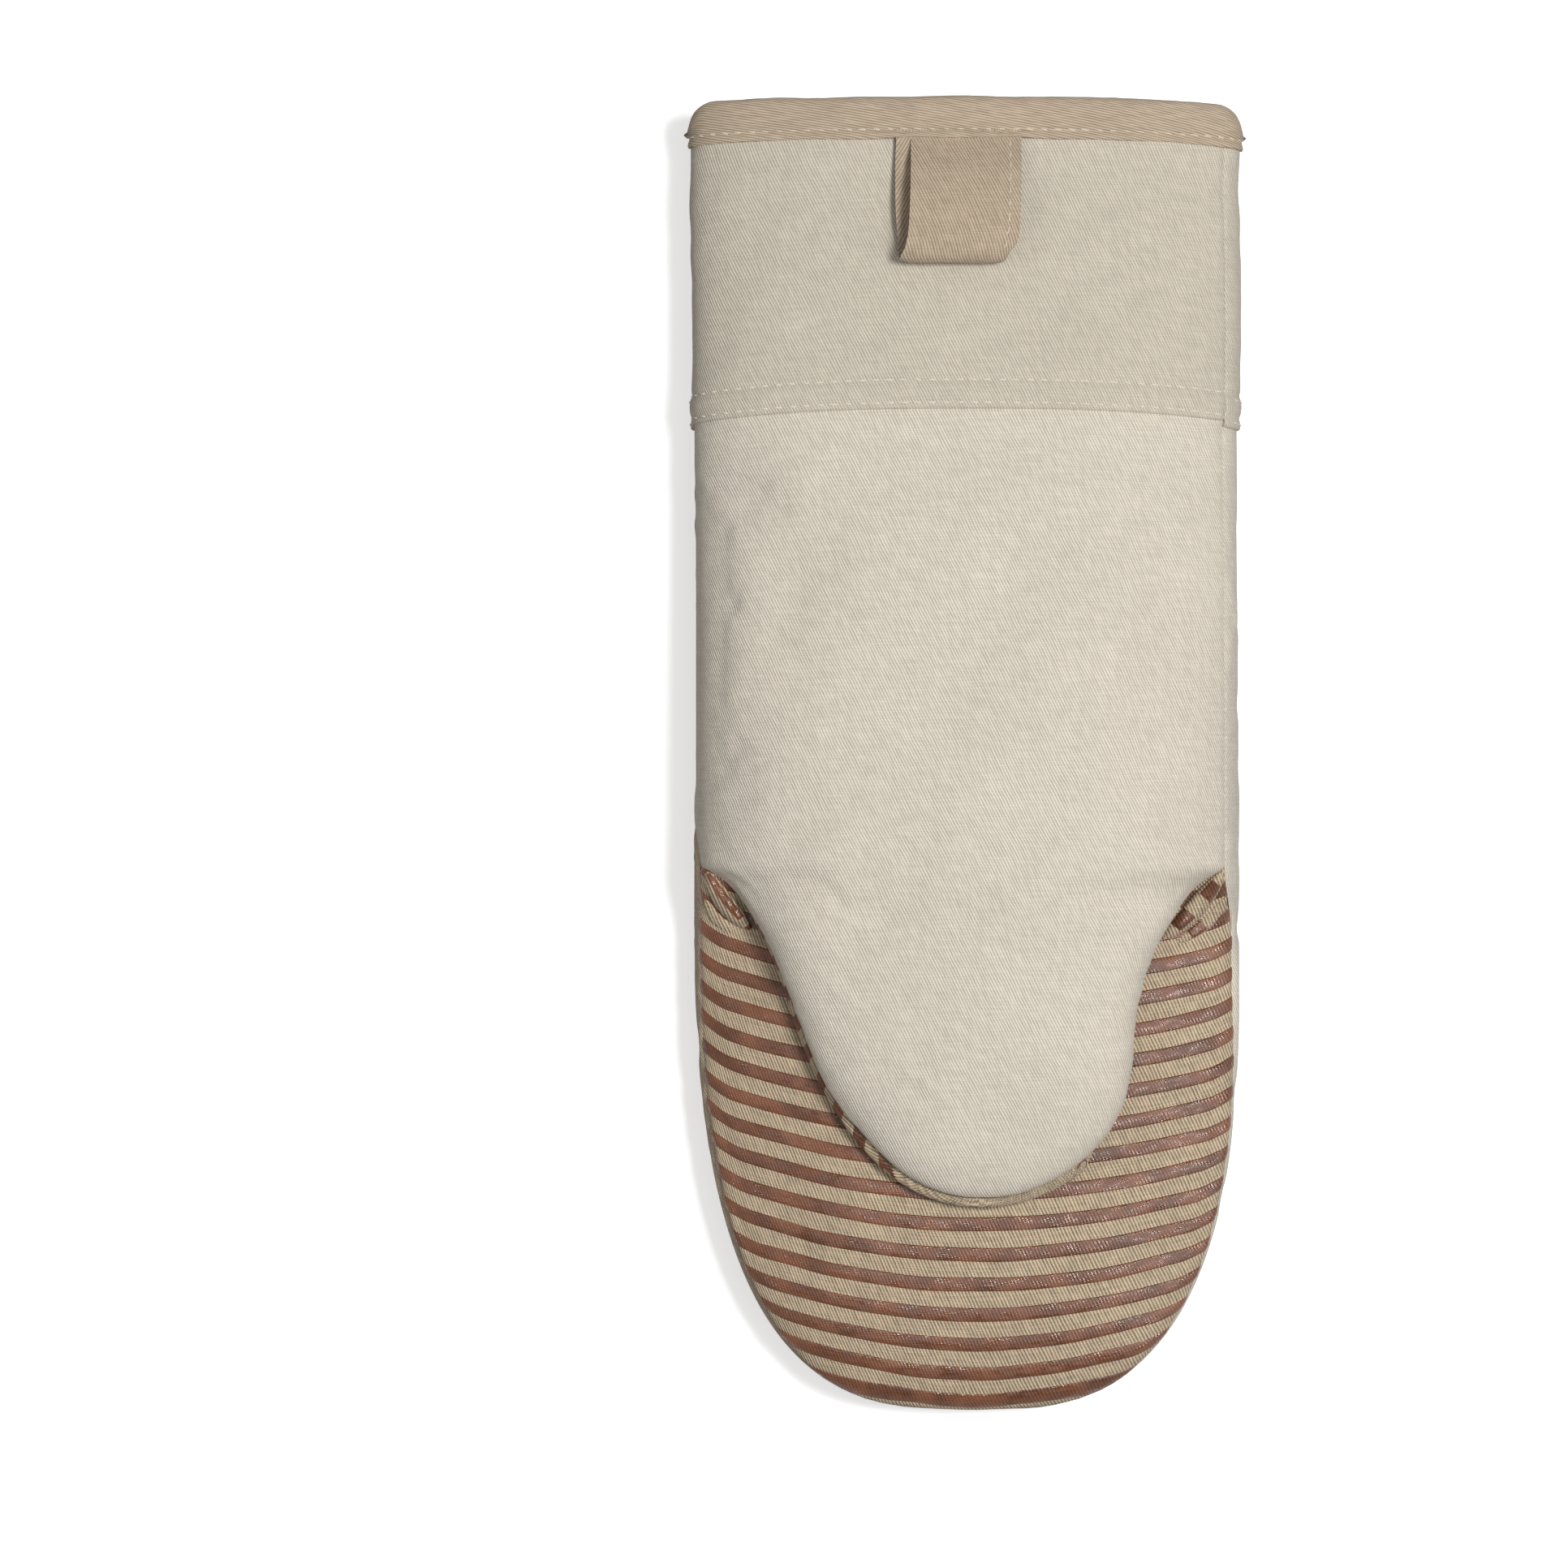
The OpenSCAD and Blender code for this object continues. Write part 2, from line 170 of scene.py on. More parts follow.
def hand_w(y, d=0.0):
    """Half width of the mitt at depth d inside the covers."""
    return np.maximum(0.6, (HALF_W - d) * falloff(ROUND_Y - y, ROUND_Y - TIP_Y - d, OUTLINE_N))


def hand_mid(y):
    """Middle of the mitt's width."""
    return 1.5 * smooth((ROUND_Y - y) / 110) - 0.3 * smooth((y - 40) / 60)


def thin(y, d=0.0):
    """Share of the full depth that is left towards the tip."""
    return falloff(THIN_Y - y, THIN_Y - TIP_Y - d, THIN_N)


def palm_h(y):
    """Height of the palm above the side seams."""
    return PALM_CUFF_H + (CREST_Z - SEAM_Z - PALM_CUFF_H) * smooth((CUFF_Y - y) / (CUFF_Y - MOUTH_Y))


def table_z(y):
    """Lowest height of the back: on the table, and rising off it towards the cuff."""
    return CUFF_HOVER * smooth((y - 30) / (BINDING_Y - 30))


# ------------------------------------------------------------------ side seams, fingers and the thumb's edge
def side_h(y):
    """Height of the side wall above the seam level: the palm's above the mouth, the fingers' below it."""
    t = smooth((CORNER_Y - y) / 17)
    return palm_h(y) * (1 - t) + FINGER_H * thin(y) * t


def seam_angle(y, side):
    """Where a side seam lies on the arch of the palm. The back wraps over the +X side."""
    if side > 0:
        return np.radians(24 - 9 * smooth((CORNER_Y - y) / 17) - 9 * smooth((-55 - y) / 35))
    return np.radians(1 + 11 * smooth((-14 - y) / 14) - 4 * smooth((-60 - y) / 40))


def finger_height(y, c):
    """Height of the finger cover, which climbs to the two corners of the mouth beside the thumb."""
    edge = np.where(c > 0, cosp(seam_angle(y, 1)), cosp(seam_angle(y, -1)))
    flat = FINGER_H * thin(y)
    return flat + (side_h(y) - flat) * np.clip(np.abs(c) / edge, 0, 1) ** 9


def finger_top(x, y):
    c = np.clip((x - hand_mid(y)) / hand_w(y), -1, 1)
    return SEAM_Z + finger_height(y, c) * dome(c)


def thumb_outline(y, side):
    """The thumb's edge seen from above."""
    t = MOUTH_Y - y
    half = 42.6 * falloff(t - 25, MOUTH_Y - THUMB_TIP_Y - 25, 2.05)
    flare = 18 * np.maximum(0, 1 - t / 40) ** 2 + 3.2 * np.exp(-(((t + 3) / 3.5) ** 2))
    shift = 5.4 * smooth((t - 30) / 36) - 0.7 * smooth((t - 68) / 12) - 1.2
    return shift + side * np.maximum(0.4, half + flare)


def cover_edge(y, side):
    """x, z and arch angle of the palm cover's edge, along the side seam and then along the thumb."""
    a = seam_angle(y, side)
    seam_x = hand_mid(y) + side * hand_w(y) * cosp(a)
    x = side * np.minimum(side * seam_x, side * thumb_outline(y, side))
    t = smooth((CORNER_Y - y) / 15)
    z = (SEAM_Z + side_h(y) * sinp(a)) * (1 - t) + (finger_top(x, y) + THUMB_LIFT) * t
    return x, z, a * (1 - t) + math.radians(4) * t


def crest(y):
    """Height of the top of the palm's arch, down to the tip of the thumb."""
    t = MOUTH_Y - y
    tip_z = SEAM_Z + FINGER_H + THUMB_LIFT
    thumb = tip_z + (CREST_Z - tip_z) * falloff(t - 12, MOUTH_Y - THUMB_TIP_Y - 12, 2.2)
    return np.where(t > 0, np.minimum(SEAM_Z + palm_h(y), thumb), SEAM_Z + palm_h(y))


# ------------------------------------------------------------------ surfaces
def run_length(line):
    """How far along a line each of its points lies."""
    return np.concatenate([[0], np.cumsum(np.linalg.norm(np.diff(line, axis=0), axis=1))])


def even(curve, count):
    """count points at even spacing along each row of curve."""
    out = np.empty((len(curve), count, 3))
    for i, row in enumerate(curve):
        along = run_length(row)
        want = np.linspace(0, along[-1], count)
        for k in range(3):
            out[i, :, k] = np.interp(want, along, row[:, k])
    return out


def tip_rows(start, tip, turn, count):
    """Places from start to a round tip, closer together over the last stretch, turn long."""
    arc_share = 1.5 * turn / (start - tip - turn + 1.5 * turn)
    s = np.linspace(0, 1, count)
    body = start - (start - tip - turn) * s / (1 - arc_share)
    angle = np.clip((s - 1 + arc_share) / arc_share, 0, 1) * math.pi / 2
    return np.where(s < 1 - arc_share, body, tip + turn * (1 - np.sin(angle)))


def palm_surface(y, count, samples=260):
    """The palm's arch between its two edges, from the cuff to the tip of the thumb."""
    s = np.linspace(0, 1, samples)[None, :]
    (xr, zr, ar), (xl, zl, al) = cover_edge(y, 1), cover_edge(y, -1)
    top = crest(y)
    a = ar[:, None] * (1 - s) + (math.pi - al[:, None]) * s
    mid = (xr * cosp(al) + xl * cosp(ar)) / (cosp(al) + cosp(ar))
    reach = (xr - mid) / cosp(ar)
    base_r = (zr - top * sinp(ar)) / (1 - sinp(ar))
    base_l = (zl - top * sinp(al)) / (1 - sinp(al))
    t = smooth((a - math.pi / 2 + 0.7) / 1.4)
    base = base_r[:, None] * (1 - t) + base_l[:, None] * t
    x = mid[:, None] + reach[:, None] * cosp(a)
    z = base + (top[:, None] - base) * sinp(a)
    return even(np.stack([x, np.repeat(y[:, None], samples, 1), z], -1), count)


def smile(v, c):
    """How far a line straight across the finger cloth has risen at c, from -1 to 1 across the mitt."""
    rise = np.where(c > 0, 10.6, 11.0 + 4.2 * smooth((v + 150) / 45))
    rise = rise * falloff(-148 - v, -148 - TIP_Y, 2)
    hook = np.clip((np.abs(c) - 0.88) / 0.12, 0, 1) ** 2
    return rise * (0.8 * c**2 + 0.2 * hook)


def finger_surface(v, count, samples=220):
    """The finger cover. v is measured down the middle of the cloth."""
    s = np.linspace(0, 1, samples)[None, :]
    end_y = v + smile(v, np.ones_like(v))
    a = seam_angle(end_y, 1)[:, None] * (1 - s) + (math.pi - seam_angle(end_y, -1)[:, None]) * s
    c = cosp(a)
    y = v[:, None] + smile(v[:, None], c)
    x = hand_mid(y) + hand_w(y) * c
    z = SEAM_Z + finger_height(y, c) * sinp(a)
    return even(np.stack([x, y, z], -1), count)


def soft_max(a, b, k=0.8):
    """The larger of a and b, with a round turn between them."""
    return (a + b + np.sqrt((a - b) ** 2 + k * k)) / 2 - k / 4


def back_point(a, y):
    """A point of the back. Angle a is above 0 near the +X seam and below -180 degrees near the -X one."""
    x = hand_mid(y) + hand_w(y) * cosp(a)
    over = SEAM_Z + side_h(y) * sinp(a)
    under = soft_max(table_z(y) + 0.1, SEAM_Z - BACK_H * thin(y) * sinp(a))
    return np.stack([x, y + 0 * a, np.where((a > 0) | (a < -math.pi), over, under)], -1)


def back_split(y):
    """The angle at which the back reaches the accent seam."""
    c = np.clip((ACCENT_X - hand_mid(y)) / hand_w(y), -0.97, 0.97)
    return -np.arccos(np.sign(c) * np.abs(c) ** (SECTION_N / 2))


def back_edges(y):
    """The angles of the back's -X and +X seams."""
    return -math.pi - seam_angle(y, -1), seam_angle(y, 1)


def back_surface(y, count, start, end, samples=260):
    """The back between two angles, from the -X one to the +X one."""
    s = np.linspace(0, 1, samples)[None, :]
    a = start[:, None] * (1 - s) + end[:, None] * s
    return even(back_point(a, np.repeat(y[:, None], samples, 1)), count)


def under_z(x, y):
    """Height of the back's outer face below the mitt."""
    c = np.clip(np.abs(x - hand_mid(y)) / hand_w(y), 0, 1)
    return soft_max(table_z(y) + 0.1, SEAM_Z - BACK_H * thin(y) * dome(c))


def body_tube(y, d, count):
    """A closed ring round the inside of the mitt at depth d, for wadding and lining."""
    a = np.linspace(0, 2 * math.pi, count, endpoint=False)[None, :]
    yy = np.repeat(y[:, None], count, 1)
    t = smooth((CORNER_Y + 20 - yy) / 15)
    top = palm_h(yy) * (1 - t) + FINGER_H * t
    shrink = thin(yy, d)
    x = hand_mid(yy) + hand_w(yy, d) * cosp(a)
    over = SEAM_Z + (top - d) * shrink * sinp(a)
    under = soft_max(table_z(yy) + d, SEAM_Z - (BACK_H - d) * shrink * sinp(a))
    return np.stack([x, yy, np.where(a < math.pi, over, under)], -1)


def thumb_tube(y, d, count):
    """A closed ring inside the thumb at depth d."""
    half_count = count // 2
    (xr, zr, _), (xl, zl, _) = cover_edge(y, 1), cover_edge(y, -1)
    top = palm_surface(y, half_count)
    mid = ((xr + xl) / 2)[:, None]
    half = ((xr - xl) / 2)[:, None]
    squeeze = np.maximum(half - d * 1.3, 0.4) / half
    over_x = mid + (top[..., 0] - mid) * squeeze
    edge_z = np.minimum(zr, zl)[:, None]
    high_z = edge_z + np.maximum(top[..., 2] - edge_z - d, 0) * 0.97
    c = np.linspace(-1, 1, half_count + 2)[1:-1][None, :]
    under_x = mid + half * squeeze * np.sin(c * math.pi / 2)
    yy = np.repeat(y[:, None], half_count, 1)
    lowest = finger_top(under_x, yy) + FACING_GAP + d + MOUTH_CLEAR * smooth((yy - MOUTH_Y + 22) / 8)
    low_z = edge_z - np.maximum(edge_z - lowest, 0.2) * dome(np.sin(c * math.pi / 2))
    over = np.stack([over_x, yy, high_z], -1)
    return np.concatenate([over, np.stack([under_x, yy, low_z], -1)], 1)


def normals(p, wrap=False):
    """Unit normals on the side away from the inside of the mitt."""
    if wrap:
        across = (np.roll(p, -1, 1) - np.roll(p, 1, 1)) / 2
    else:
        across = np.gradient(p, axis=1)
    n = np.cross(np.gradient(p, axis=0), across)
    size = np.linalg.norm(n, axis=-1, keepdims=True)
    n = np.where(size > 1e-9, n / np.maximum(size, 1e-9), [0, -1, 0])
    n[arc(p, 1)[:, -1] < 4] = [0, 1, 0]
    return -n


def arc(p, axis):
    """Distance along the surface from its first row or column."""
    total = np.cumsum(np.linalg.norm(np.diff(p, axis=axis), axis=-1), axis=axis)
    pad = [(0, 0), (0, 0)]
    pad[axis] = (1, 0)
    return np.pad(total, pad)


def cloth_coords(p):
    """Flat places on the cloth: across from x = 0 or the nearest edge, and along the middle column."""
    middle = p.shape[1] // 2
    u = arc(p, 1)
    v = p[0, middle, 1] - arc(p, 0)[:, middle]
    rows = np.arange(len(p))
    nearest = np.clip(np.abs(p[..., 0]).argmin(1), 1, p.shape[1] - 2)
    before, after = nearest - 1, nearest + 1
    slope = (u[rows, after] - u[rows, before]) / (p[rows, after, 0] - p[rows, before, 0])
    start = u[rows, nearest] - np.clip(p[rows, nearest, 0], -1.5, 1.5) * slope
    return np.stack([start[:, None] - u, np.repeat(v[:, None], p.shape[1], 1), 0 * u], -1)


def frown(p):
    """The cuff end droops a little to both sides, most on the palm."""
    q = p.copy()
    x, y, z = p[..., 0], p[..., 1], p[..., 2]
    side = np.clip(np.abs(x) / HALF_W, 0, 1.1) ** 2.5
    droop = 3.0 * smooth((y - 20) / 60) - np.where(x > 0, 1.3, 2.2) * smooth((y - 148) / 8)
    q[..., 1] -= droop * side * (0.4 + 0.6 * smooth((z - 4) / 12))
    return q


# ------------------------------------------------------------------ meshes
def quads(n_rows, n_cols, offset=0, wrap=False):
    """Faces of a grid whose points start at offset. wrap joins its last column to its first."""
    i, j = np.meshgrid(np.arange(n_rows - 1), np.arange(n_cols if wrap else n_cols - 1), indexing="ij")
    k = (j + 1) % n_cols
    corners = [i * n_cols + j, (i + 1) * n_cols + j, (i + 1) * n_cols + k, i * n_cols + k]
    return np.stack(corners, -1).reshape(-1, 4) + offset


def rims(n_rows, n_cols, shift, wrap):
    """Faces that join the borders of two grids, the second one shift vertices after the first."""
    top = np.arange(n_cols)
    bottom = (n_rows - 1) * n_cols + top
    side = np.arange(n_rows) * n_cols
    if wrap:
        lines = [np.append(top, top[0]), np.append(bottom, bottom[0])]
    else:
        lines = [top, bottom, side, side + n_cols - 1]
    return np.concatenate([np.stack([s[:-1], s[1:], s[1:] + shift, s[:-1] + shift], -1) for s in lines])


def shell_faces(n_rows, n_cols, wrap=False, offset=0):
    """Faces of a closed sheet: an outer grid, the inner grid that follows it, and the rims between."""
    shift = n_rows * n_cols
    outer = quads(n_rows, n_cols, offset, wrap)
    inner = quads(n_rows, n_cols, offset + shift, wrap)[:, ::-1]
    return np.concatenate([outer, inner, rims(n_rows, n_cols, shift, wrap) + offset])


def make_mesh(name, points, faces, coords, materials, face_material=None):
    """A closed mesh with its cloth coordinates kept as an attribute for the weave."""
    points = frown(np.asarray(points, float).reshape(-1, 3)) * MM
    mesh = bpy.data.meshes.new(name)
    mesh.from_pydata(points.tolist(), [], [[int(i) for i in f] for f in faces])
    layer = mesh.attributes.new("cloth", "FLOAT_VECTOR", "POINT")
    layer.data.foreach_set("vector", np.asarray(coords, np.float32).reshape(-1))
    for m in materials:
        mesh.materials.append(m)
    if face_material is not None:
        mesh.polygons.foreach_set("material_index", np.asarray(face_material, np.int32))
    bm = bmesh.new()
    bm.from_mesh(mesh)
    bmesh.ops.recalc_face_normals(bm, faces=bm.faces)
    bm.to_mesh(mesh)
    bm.free()
    mesh.shade_smooth()
    mesh.set_sharp_from_angle(angle=math.radians(55))
    mesh.update()
    piece = bpy.data.objects.new(name, mesh)
    bpy.context.scene.collection.objects.link(piece)
    return piece


def thick_sheet(name, p, thickness, material, coords=None, wrap=False, outward=None):
    """A closed sheet whose outer face is p."""
    n = normals(p, wrap) if outward is None else outward
    coords = cloth_coords(p) if coords is None else coords
    points = np.concatenate([p.reshape(-1, 3), (p - n * thickness).reshape(-1, 3)])
    faces = shell_faces(*p.shape[:2], wrap)
    return make_mesh(name, points, faces, np.concatenate([coords.reshape(-1, 3)] * 2), [material])


# ------------------------------------------------------------------ cloth simulation
def upsample(coarse, k):
    """Catmull-Rom interpolation of a grid to k times as many steps each way."""
    for axis in (0, 1):
        c = np.moveaxis(coarse, axis, 0)
        padded = np.concatenate([c[:1], c, c[-1:]])
        steps = len(c) - 1
        parts = []
        for t in np.arange(k) / k:
            weights = (
                -0.5 * t + t * t - 0.5 * t**3,
                1 - 2.5 * t * t + 1.5 * t**3,
                0.5 * t + 2 * t * t - 1.5 * t**3,
                -0.5 * t * t + 0.5 * t**3,
            )
            parts.append(sum(w * padded[i : i + steps] for i, w in enumerate(weights)))
        mixed = np.stack(parts, 1).reshape((steps * k,) + c.shape[1:])
        coarse = np.moveaxis(np.concatenate([mixed, c[-1:]]), 0, axis)
    return coarse


CLOTH_SETTINGS = {
    "quality": 6,
    "mass": 0.15,
    "tension_stiffness": 18,
    "compression_stiffness": 18,
    "shear_stiffness": 8,
    "bending_stiffness": 1.2,
    "tension_damping": 8,
    "compression_damping": 8,
    "air_damping": 2,
    "vertex_group_mass": "held",
    "use_pressure": True,
}


def settle(p, pressure, slack, cap):
    """Moves a sewn-down cover as cloth under pressure from its wadding, by cap millimetres at most."""
    coarse = p[::SIM_STEP, ::SIM_STEP]
    n_rows, n_cols = coarse.shape[:2]
    mesh = bpy.data.meshes.new("settling")
    mesh.from_pydata((coarse.reshape(-1, 3) * MM).tolist(), [], quads(n_rows, n_cols)[:, ::-1].tolist())
    cloth = bpy.data.objects.new("settling", mesh)
    bpy.context.scene.collection.objects.link(cloth)
    held = np.zeros((n_rows, n_cols), bool)
    held[[0, -1], :] = True
    held[:, [0, -1]] = True
    group = cloth.vertex_groups.new(name="held")
    group.add(np.flatnonzero(held.ravel()).tolist(), 1.0, "REPLACE")
    modifier = cloth.modifiers.new("cloth", "CLOTH")
    for setting, value in CLOTH_SETTINGS.items():
        setattr(modifier.settings, setting, value)
    modifier.settings.shrink_min = -slack
    modifier.settings.uniform_pressure_force = pressure
    modifier.settings.effector_weights.gravity = 0
    modifier.collision_settings.use_collision = False
    for f in range(1, 21):
        bpy.context.scene.frame_set(f)
    done = cloth.evaluated_get(bpy.context.evaluated_depsgraph_get()).data
    moved = np.empty(n_rows * n_cols * 3)
    done.vertices.foreach_get("co", moved)
    shift = moved.reshape(coarse.shape) / MM - coarse
    bpy.data.objects.remove(cloth)
    bpy.context.scene.frame_set(1)
    size = np.linalg.norm(shift, axis=-1, keepdims=True)
    shift *= cap * np.tanh(size / cap) / np.maximum(size, 1e-9)
    n = normals(coarse)
    sunk = np.minimum((shift * n).sum(-1, keepdims=True) + SINK, 0)
    return p + upsample(shift - sunk * n, SIM_STEP)


def plump(sewn, pressure, slack, cap, stiff_thumb=0.0):
    """A cover filled out by its wadding, held down beside the band's hem and, as asked, on the thumb."""
    y = sewn[..., 1]
    held_down = np.maximum(stiff_thumb * smooth((MOUTH_Y + 5 - y) / 25), smooth((y - HEM_Y + 22) / 16))
    filled = settle(sewn, pressure, slack, cap)
    return filled + (sewn - filled) * held_down[..., None]


def groove(p, depth, width):
    """Pulls a surface in along its two side edges, where it is sewn."""
    across = arc(p, 1)
    d = np.minimum(across, across[:, -1:] - across)
    return p - normals(p) * (depth * np.exp(-((d / width) ** 2)))[..., None]


# ------------------------------------------------------------------ materials
class Shader:
    """A material's node tree, with short calls for the nodes that the cloths share."""

    def __init__(self, name, roughness, **sockets):
        self.material = bpy.data.materials.new(name)
        self.material.use_nodes = True
        self.tree = self.material.node_tree
        self.bsdf = self.tree.nodes["Principled BSDF"]
        self.bsdf.inputs["Roughness"].default_value = roughness
        for socket, value in sockets.items():
            self.bsdf.inputs[socket.replace("_", " ")].default_value = value
        self.cloth = self.node("ShaderNodeAttribute", attribute_name="cloth").outputs["Vector"]

    def node(self, kind, **settings):
        made = self.tree.nodes.new(kind)
        for key, value in settings.items():
            setattr(made, key, value)
        return made

    def feed(self, socket, value):
        if isinstance(value, bpy.types.NodeSocket):
            self.tree.links.new(value, socket)
        else:
            socket.default_value = value

    def math(self, operation, a, b=0.0, c=0.0):
        made = self.node("ShaderNodeMath", operation=operation)
        for socket, value in zip(made.inputs, (a, b, c)):
            self.feed(socket, value)
        return made.outputs[0]

    def wave(self, value):
        """0 to 1, once for each whole step of value."""
        turned = self.math("MULTIPLY", value, 2 * math.pi)
        return self.math("MULTIPLY_ADD", self.math("SINE", turned), 0.5, 0.5)

    def span(self, value, start, end, to_start=0.0, to_end=1.0):
        """to_start to to_end, softly, as value goes from start to end."""
        made = self.node("ShaderNodeMapRange", interpolation_type="SMOOTHSTEP")
        for socket, number in zip(made.inputs, (value, start, end, to_start, to_end)):
            self.feed(socket, number)
        return made.outputs[0]

    def axis(self, index):
        """Place on the cloth in millimetres: 0 is across it and 1 along it."""
        axes = self.node("ShaderNodeSeparateXYZ")
        self.feed(axes.inputs[0], self.cloth)
        return axes.outputs[index]

    def noise(self, scale, detail=2.0, stretch=(1, 1, 1), over=None):
        """Noise over the cloth, or over another vector. scale is in cycles a millimetre."""
        mapping = self.node("ShaderNodeMapping")
        self.feed(mapping.inputs["Vector"], self.cloth if over is None else over)
        mapping.inputs["Scale"].default_value = [scale * s for s in stretch]
        made = self.node("ShaderNodeTexNoise")
        self.feed(made.inputs["Vector"], mapping.outputs[0])
        made.inputs["Scale"].default_value = 1.0
        made.inputs["Detail"].default_value = detail
        return made.outputs["Fac"]

    def tones(self, factor, rgb, dark, light=1.0):
        """rgb from dark to light times as bright, as factor goes from 0 to 1."""
        made = self.node("ShaderNodeMix", data_type="RGBA")
        self.feed(made.inputs["Factor"], factor)
        self.feed(made.inputs[6], colour(rgb, dark))
        self.feed(made.inputs[7], colour(rgb, light))
        return made.outputs[2]

    def bump(self, height, distance, below=None):
        made = self.node("ShaderNodeBump")
        made.inputs["Strength"].default_value = 1.0
        made.inputs["Distance"].default_value = distance * MM
        self.feed(made.inputs["Height"], height)
        if below is not None:
            self.feed(made.inputs["Normal"], below)
        return made.outputs[0]

    def surface(self, base, roughness=None, normal=None):
        """Gives the material its colour, roughness and normal, and returns it finished."""
        for socket, value in (("Base Color", base), ("Roughness", roughness), ("Normal", normal)):
            if value is not None:
                self.feed(self.bsdf.inputs[socket], value)
        return self.material

    def weave(self, slope, pitch, wander=0.8):
        """Twill that leans like a backslash: (wale, bead, slub, streak along the wales), each 0 to 1."""
        u, v = self.axis(0), self.axis(1)
        angle = math.radians(slope)
        across = self.math("MULTIPLY", u, math.sin(angle))
        across = self.math("MULTIPLY_ADD", v, math.cos(angle), across)
        across = self.math("MULTIPLY_ADD", self.noise(0.07, 2.0), wander, across)
        along = self.math("MULTIPLY", u, -math.cos(angle))
        along = self.math("MULTIPLY_ADD", v, math.sin(angle), along)
        wale = self.wave(self.math("DIVIDE", across, pitch))
        half = self.math("MULTIPLY", across, 0.5 / pitch)
        bead = self.wave(self.math("MULTIPLY_ADD", along, 1 / 0.46, half))
        slub = self.noise(1.0, 2.0, (0.10, 2.4, 1.0))
        leaning = self.node("ShaderNodeCombineXYZ")
        self.feed(leaning.inputs[0], across)
        self.feed(leaning.inputs[1], along)
        streak = self.noise(1.0, 2.0, (1.5, 0.22, 1.0), leaning.outputs[0])
        return wale, bead, slub, streak


def colour(rgb, brightness=1.0):
    """An sRGB colour of 0 to 255 as linear RGBA."""
    parts = [min(255, c * brightness) / 255 for c in rgb]
    return tuple(c / 12.92 if c <= 0.04045 else ((c + 0.055) / 1.055) ** 2.4 for c in parts) + (1.0,)


def twill(name, rgb, slope=64, pitch=0.68, contrast=0.12, relief=0.07, tone=0.02, wander=0.8):
    """Cotton twill: raised leaning wales of small beads, thick and thin threads, and soft uneven tone."""
    s = Shader(name, 0.88, Sheen_Weight=0.1, Sheen_Roughness=0.45, Specular_IOR_Level=0.2)
    wale, bead, slub, streak = s.weave(slope, pitch, wander)
    height = s.math("MULTIPLY_ADD", bead, 0.3, wale)
    height = s.math("MULTIPLY_ADD", slub, 0.3, height)
    height = s.math("MULTIPLY_ADD", streak, 0.5, height)
    light = s.math("MULTIPLY_ADD", bead, 0.22, s.math("MULTIPLY", wale, 0.78))
    light = s.math("ADD", light, s.span(slub, 0.3, 0.75, -0.12, 0.12))
    light = s.math("ADD", light, s.span(streak, 0.3, 0.7, -0.14, 0.14))
    cloth = s.tones(light, rgb, 1 - contrast * 1.25, 1 + contrast * 0.62)
    patches = s.span(s.noise(0.035, 4.0), 0.3, 0.7, 1 - tone, 1 + tone)
    grey = s.node("ShaderNodeCombineColor")
    for socket in grey.inputs:
        s.feed(socket, patches)
    tinted = s.node("ShaderNodeMix", data_type="RGBA", blend_type="MULTIPLY")
    tinted.inputs["Factor"].default_value = 1.0
    s.feed(tinted.inputs[6], cloth)
    s.feed(tinted.inputs[7], grey.outputs[0])
    fuzz = s.bump(s.noise(2.2, 2.0), 0.05)
    return s.surface(tinted.outputs[2], s.span(wale, 0.0, 1.0, 0.95, 0.82), s.bump(height, relief, fuzz))


def silicone(name, rgb):
    """Printed silicone: glossy, uneven, with the twill showing through as fine pits."""
    s = Shader(name, 0.25, Specular_IOR_Level=0.32)
    wale, bead, _, _ = s.weave(66, 0.80)
    ribbed = s.math("MULTIPLY_ADD", bead, 0.5, wale)
    light = s.math("MULTIPLY_ADD", ribbed, 0.45, s.span(s.noise(0.12, 3.0), 0.3, 0.7, -0.15, 0.3))
    roughness = s.span(s.noise(0.5, 3.0, (0.5, 1.6, 1.0)), 0.38, 0.55, 0.13, 0.52)
    lumps = s.bump(s.noise(0.4, 3.0, (0.4, 1.2, 1.0)), 0.24)
    return s.surface(s.tones(light, rgb, 0.68, 1.27), roughness, s.bump(ribbed, 0.05, lumps))


def satin(name, rgb):
    """Woven satin ribbon: fine crosswise ribs with a soft lengthwise gloss."""
    s = Shader(name, 0.42, Specular_IOR_Level=0.5, Anisotropic=0.4, Sheen_Weight=0.2)
    wale, _, slub, _ = s.weave(50, 0.55)
    rib = s.wave(s.math("MULTIPLY", s.axis(1), 1 / 0.34))
    light = s.math("MULTIPLY_ADD", wale, 0.45, s.math("MULTIPLY", rib, 0.35))
    light = s.math("ADD", light, s.span(slub, 0.3, 0.7, 0.0, 0.2))
    ribs = s.bump(s.math("MULTIPLY_ADD", rib, 0.5, wale), 0.04)
    return s.surface(s.tones(light, rgb, 0.93, 1.05), s.span(wale, 0.0, 1.0, 0.5, 0.36), ribs)


def thread(name, rgb):
    """Spun sewing thread: two twisted plies."""
    s = Shader(name, 0.6, Sheen_Weight=0.3, Specular_IOR_Level=0.3)
    ply = s.wave(s.math("MULTIPLY_ADD", s.axis(1), 1 / 0.5, s.axis(0)))
    roughness = s.span(s.noise(1.5), 0.3, 0.7, 0.5, 0.75)
    return s.surface(s.tones(ply, rgb, 0.82, 1.06), roughness, s.bump(ply, 0.04))


def painted_hole_shade(name, rgb):
    """Painted shade of a needle hole: a dark colour for a small lens that lies on the cloth."""
    s = Shader(name, 0.95)
    return s.surface(s.tones(s.span(s.noise(1.3), 0.3, 0.7), rgb, 0.8))


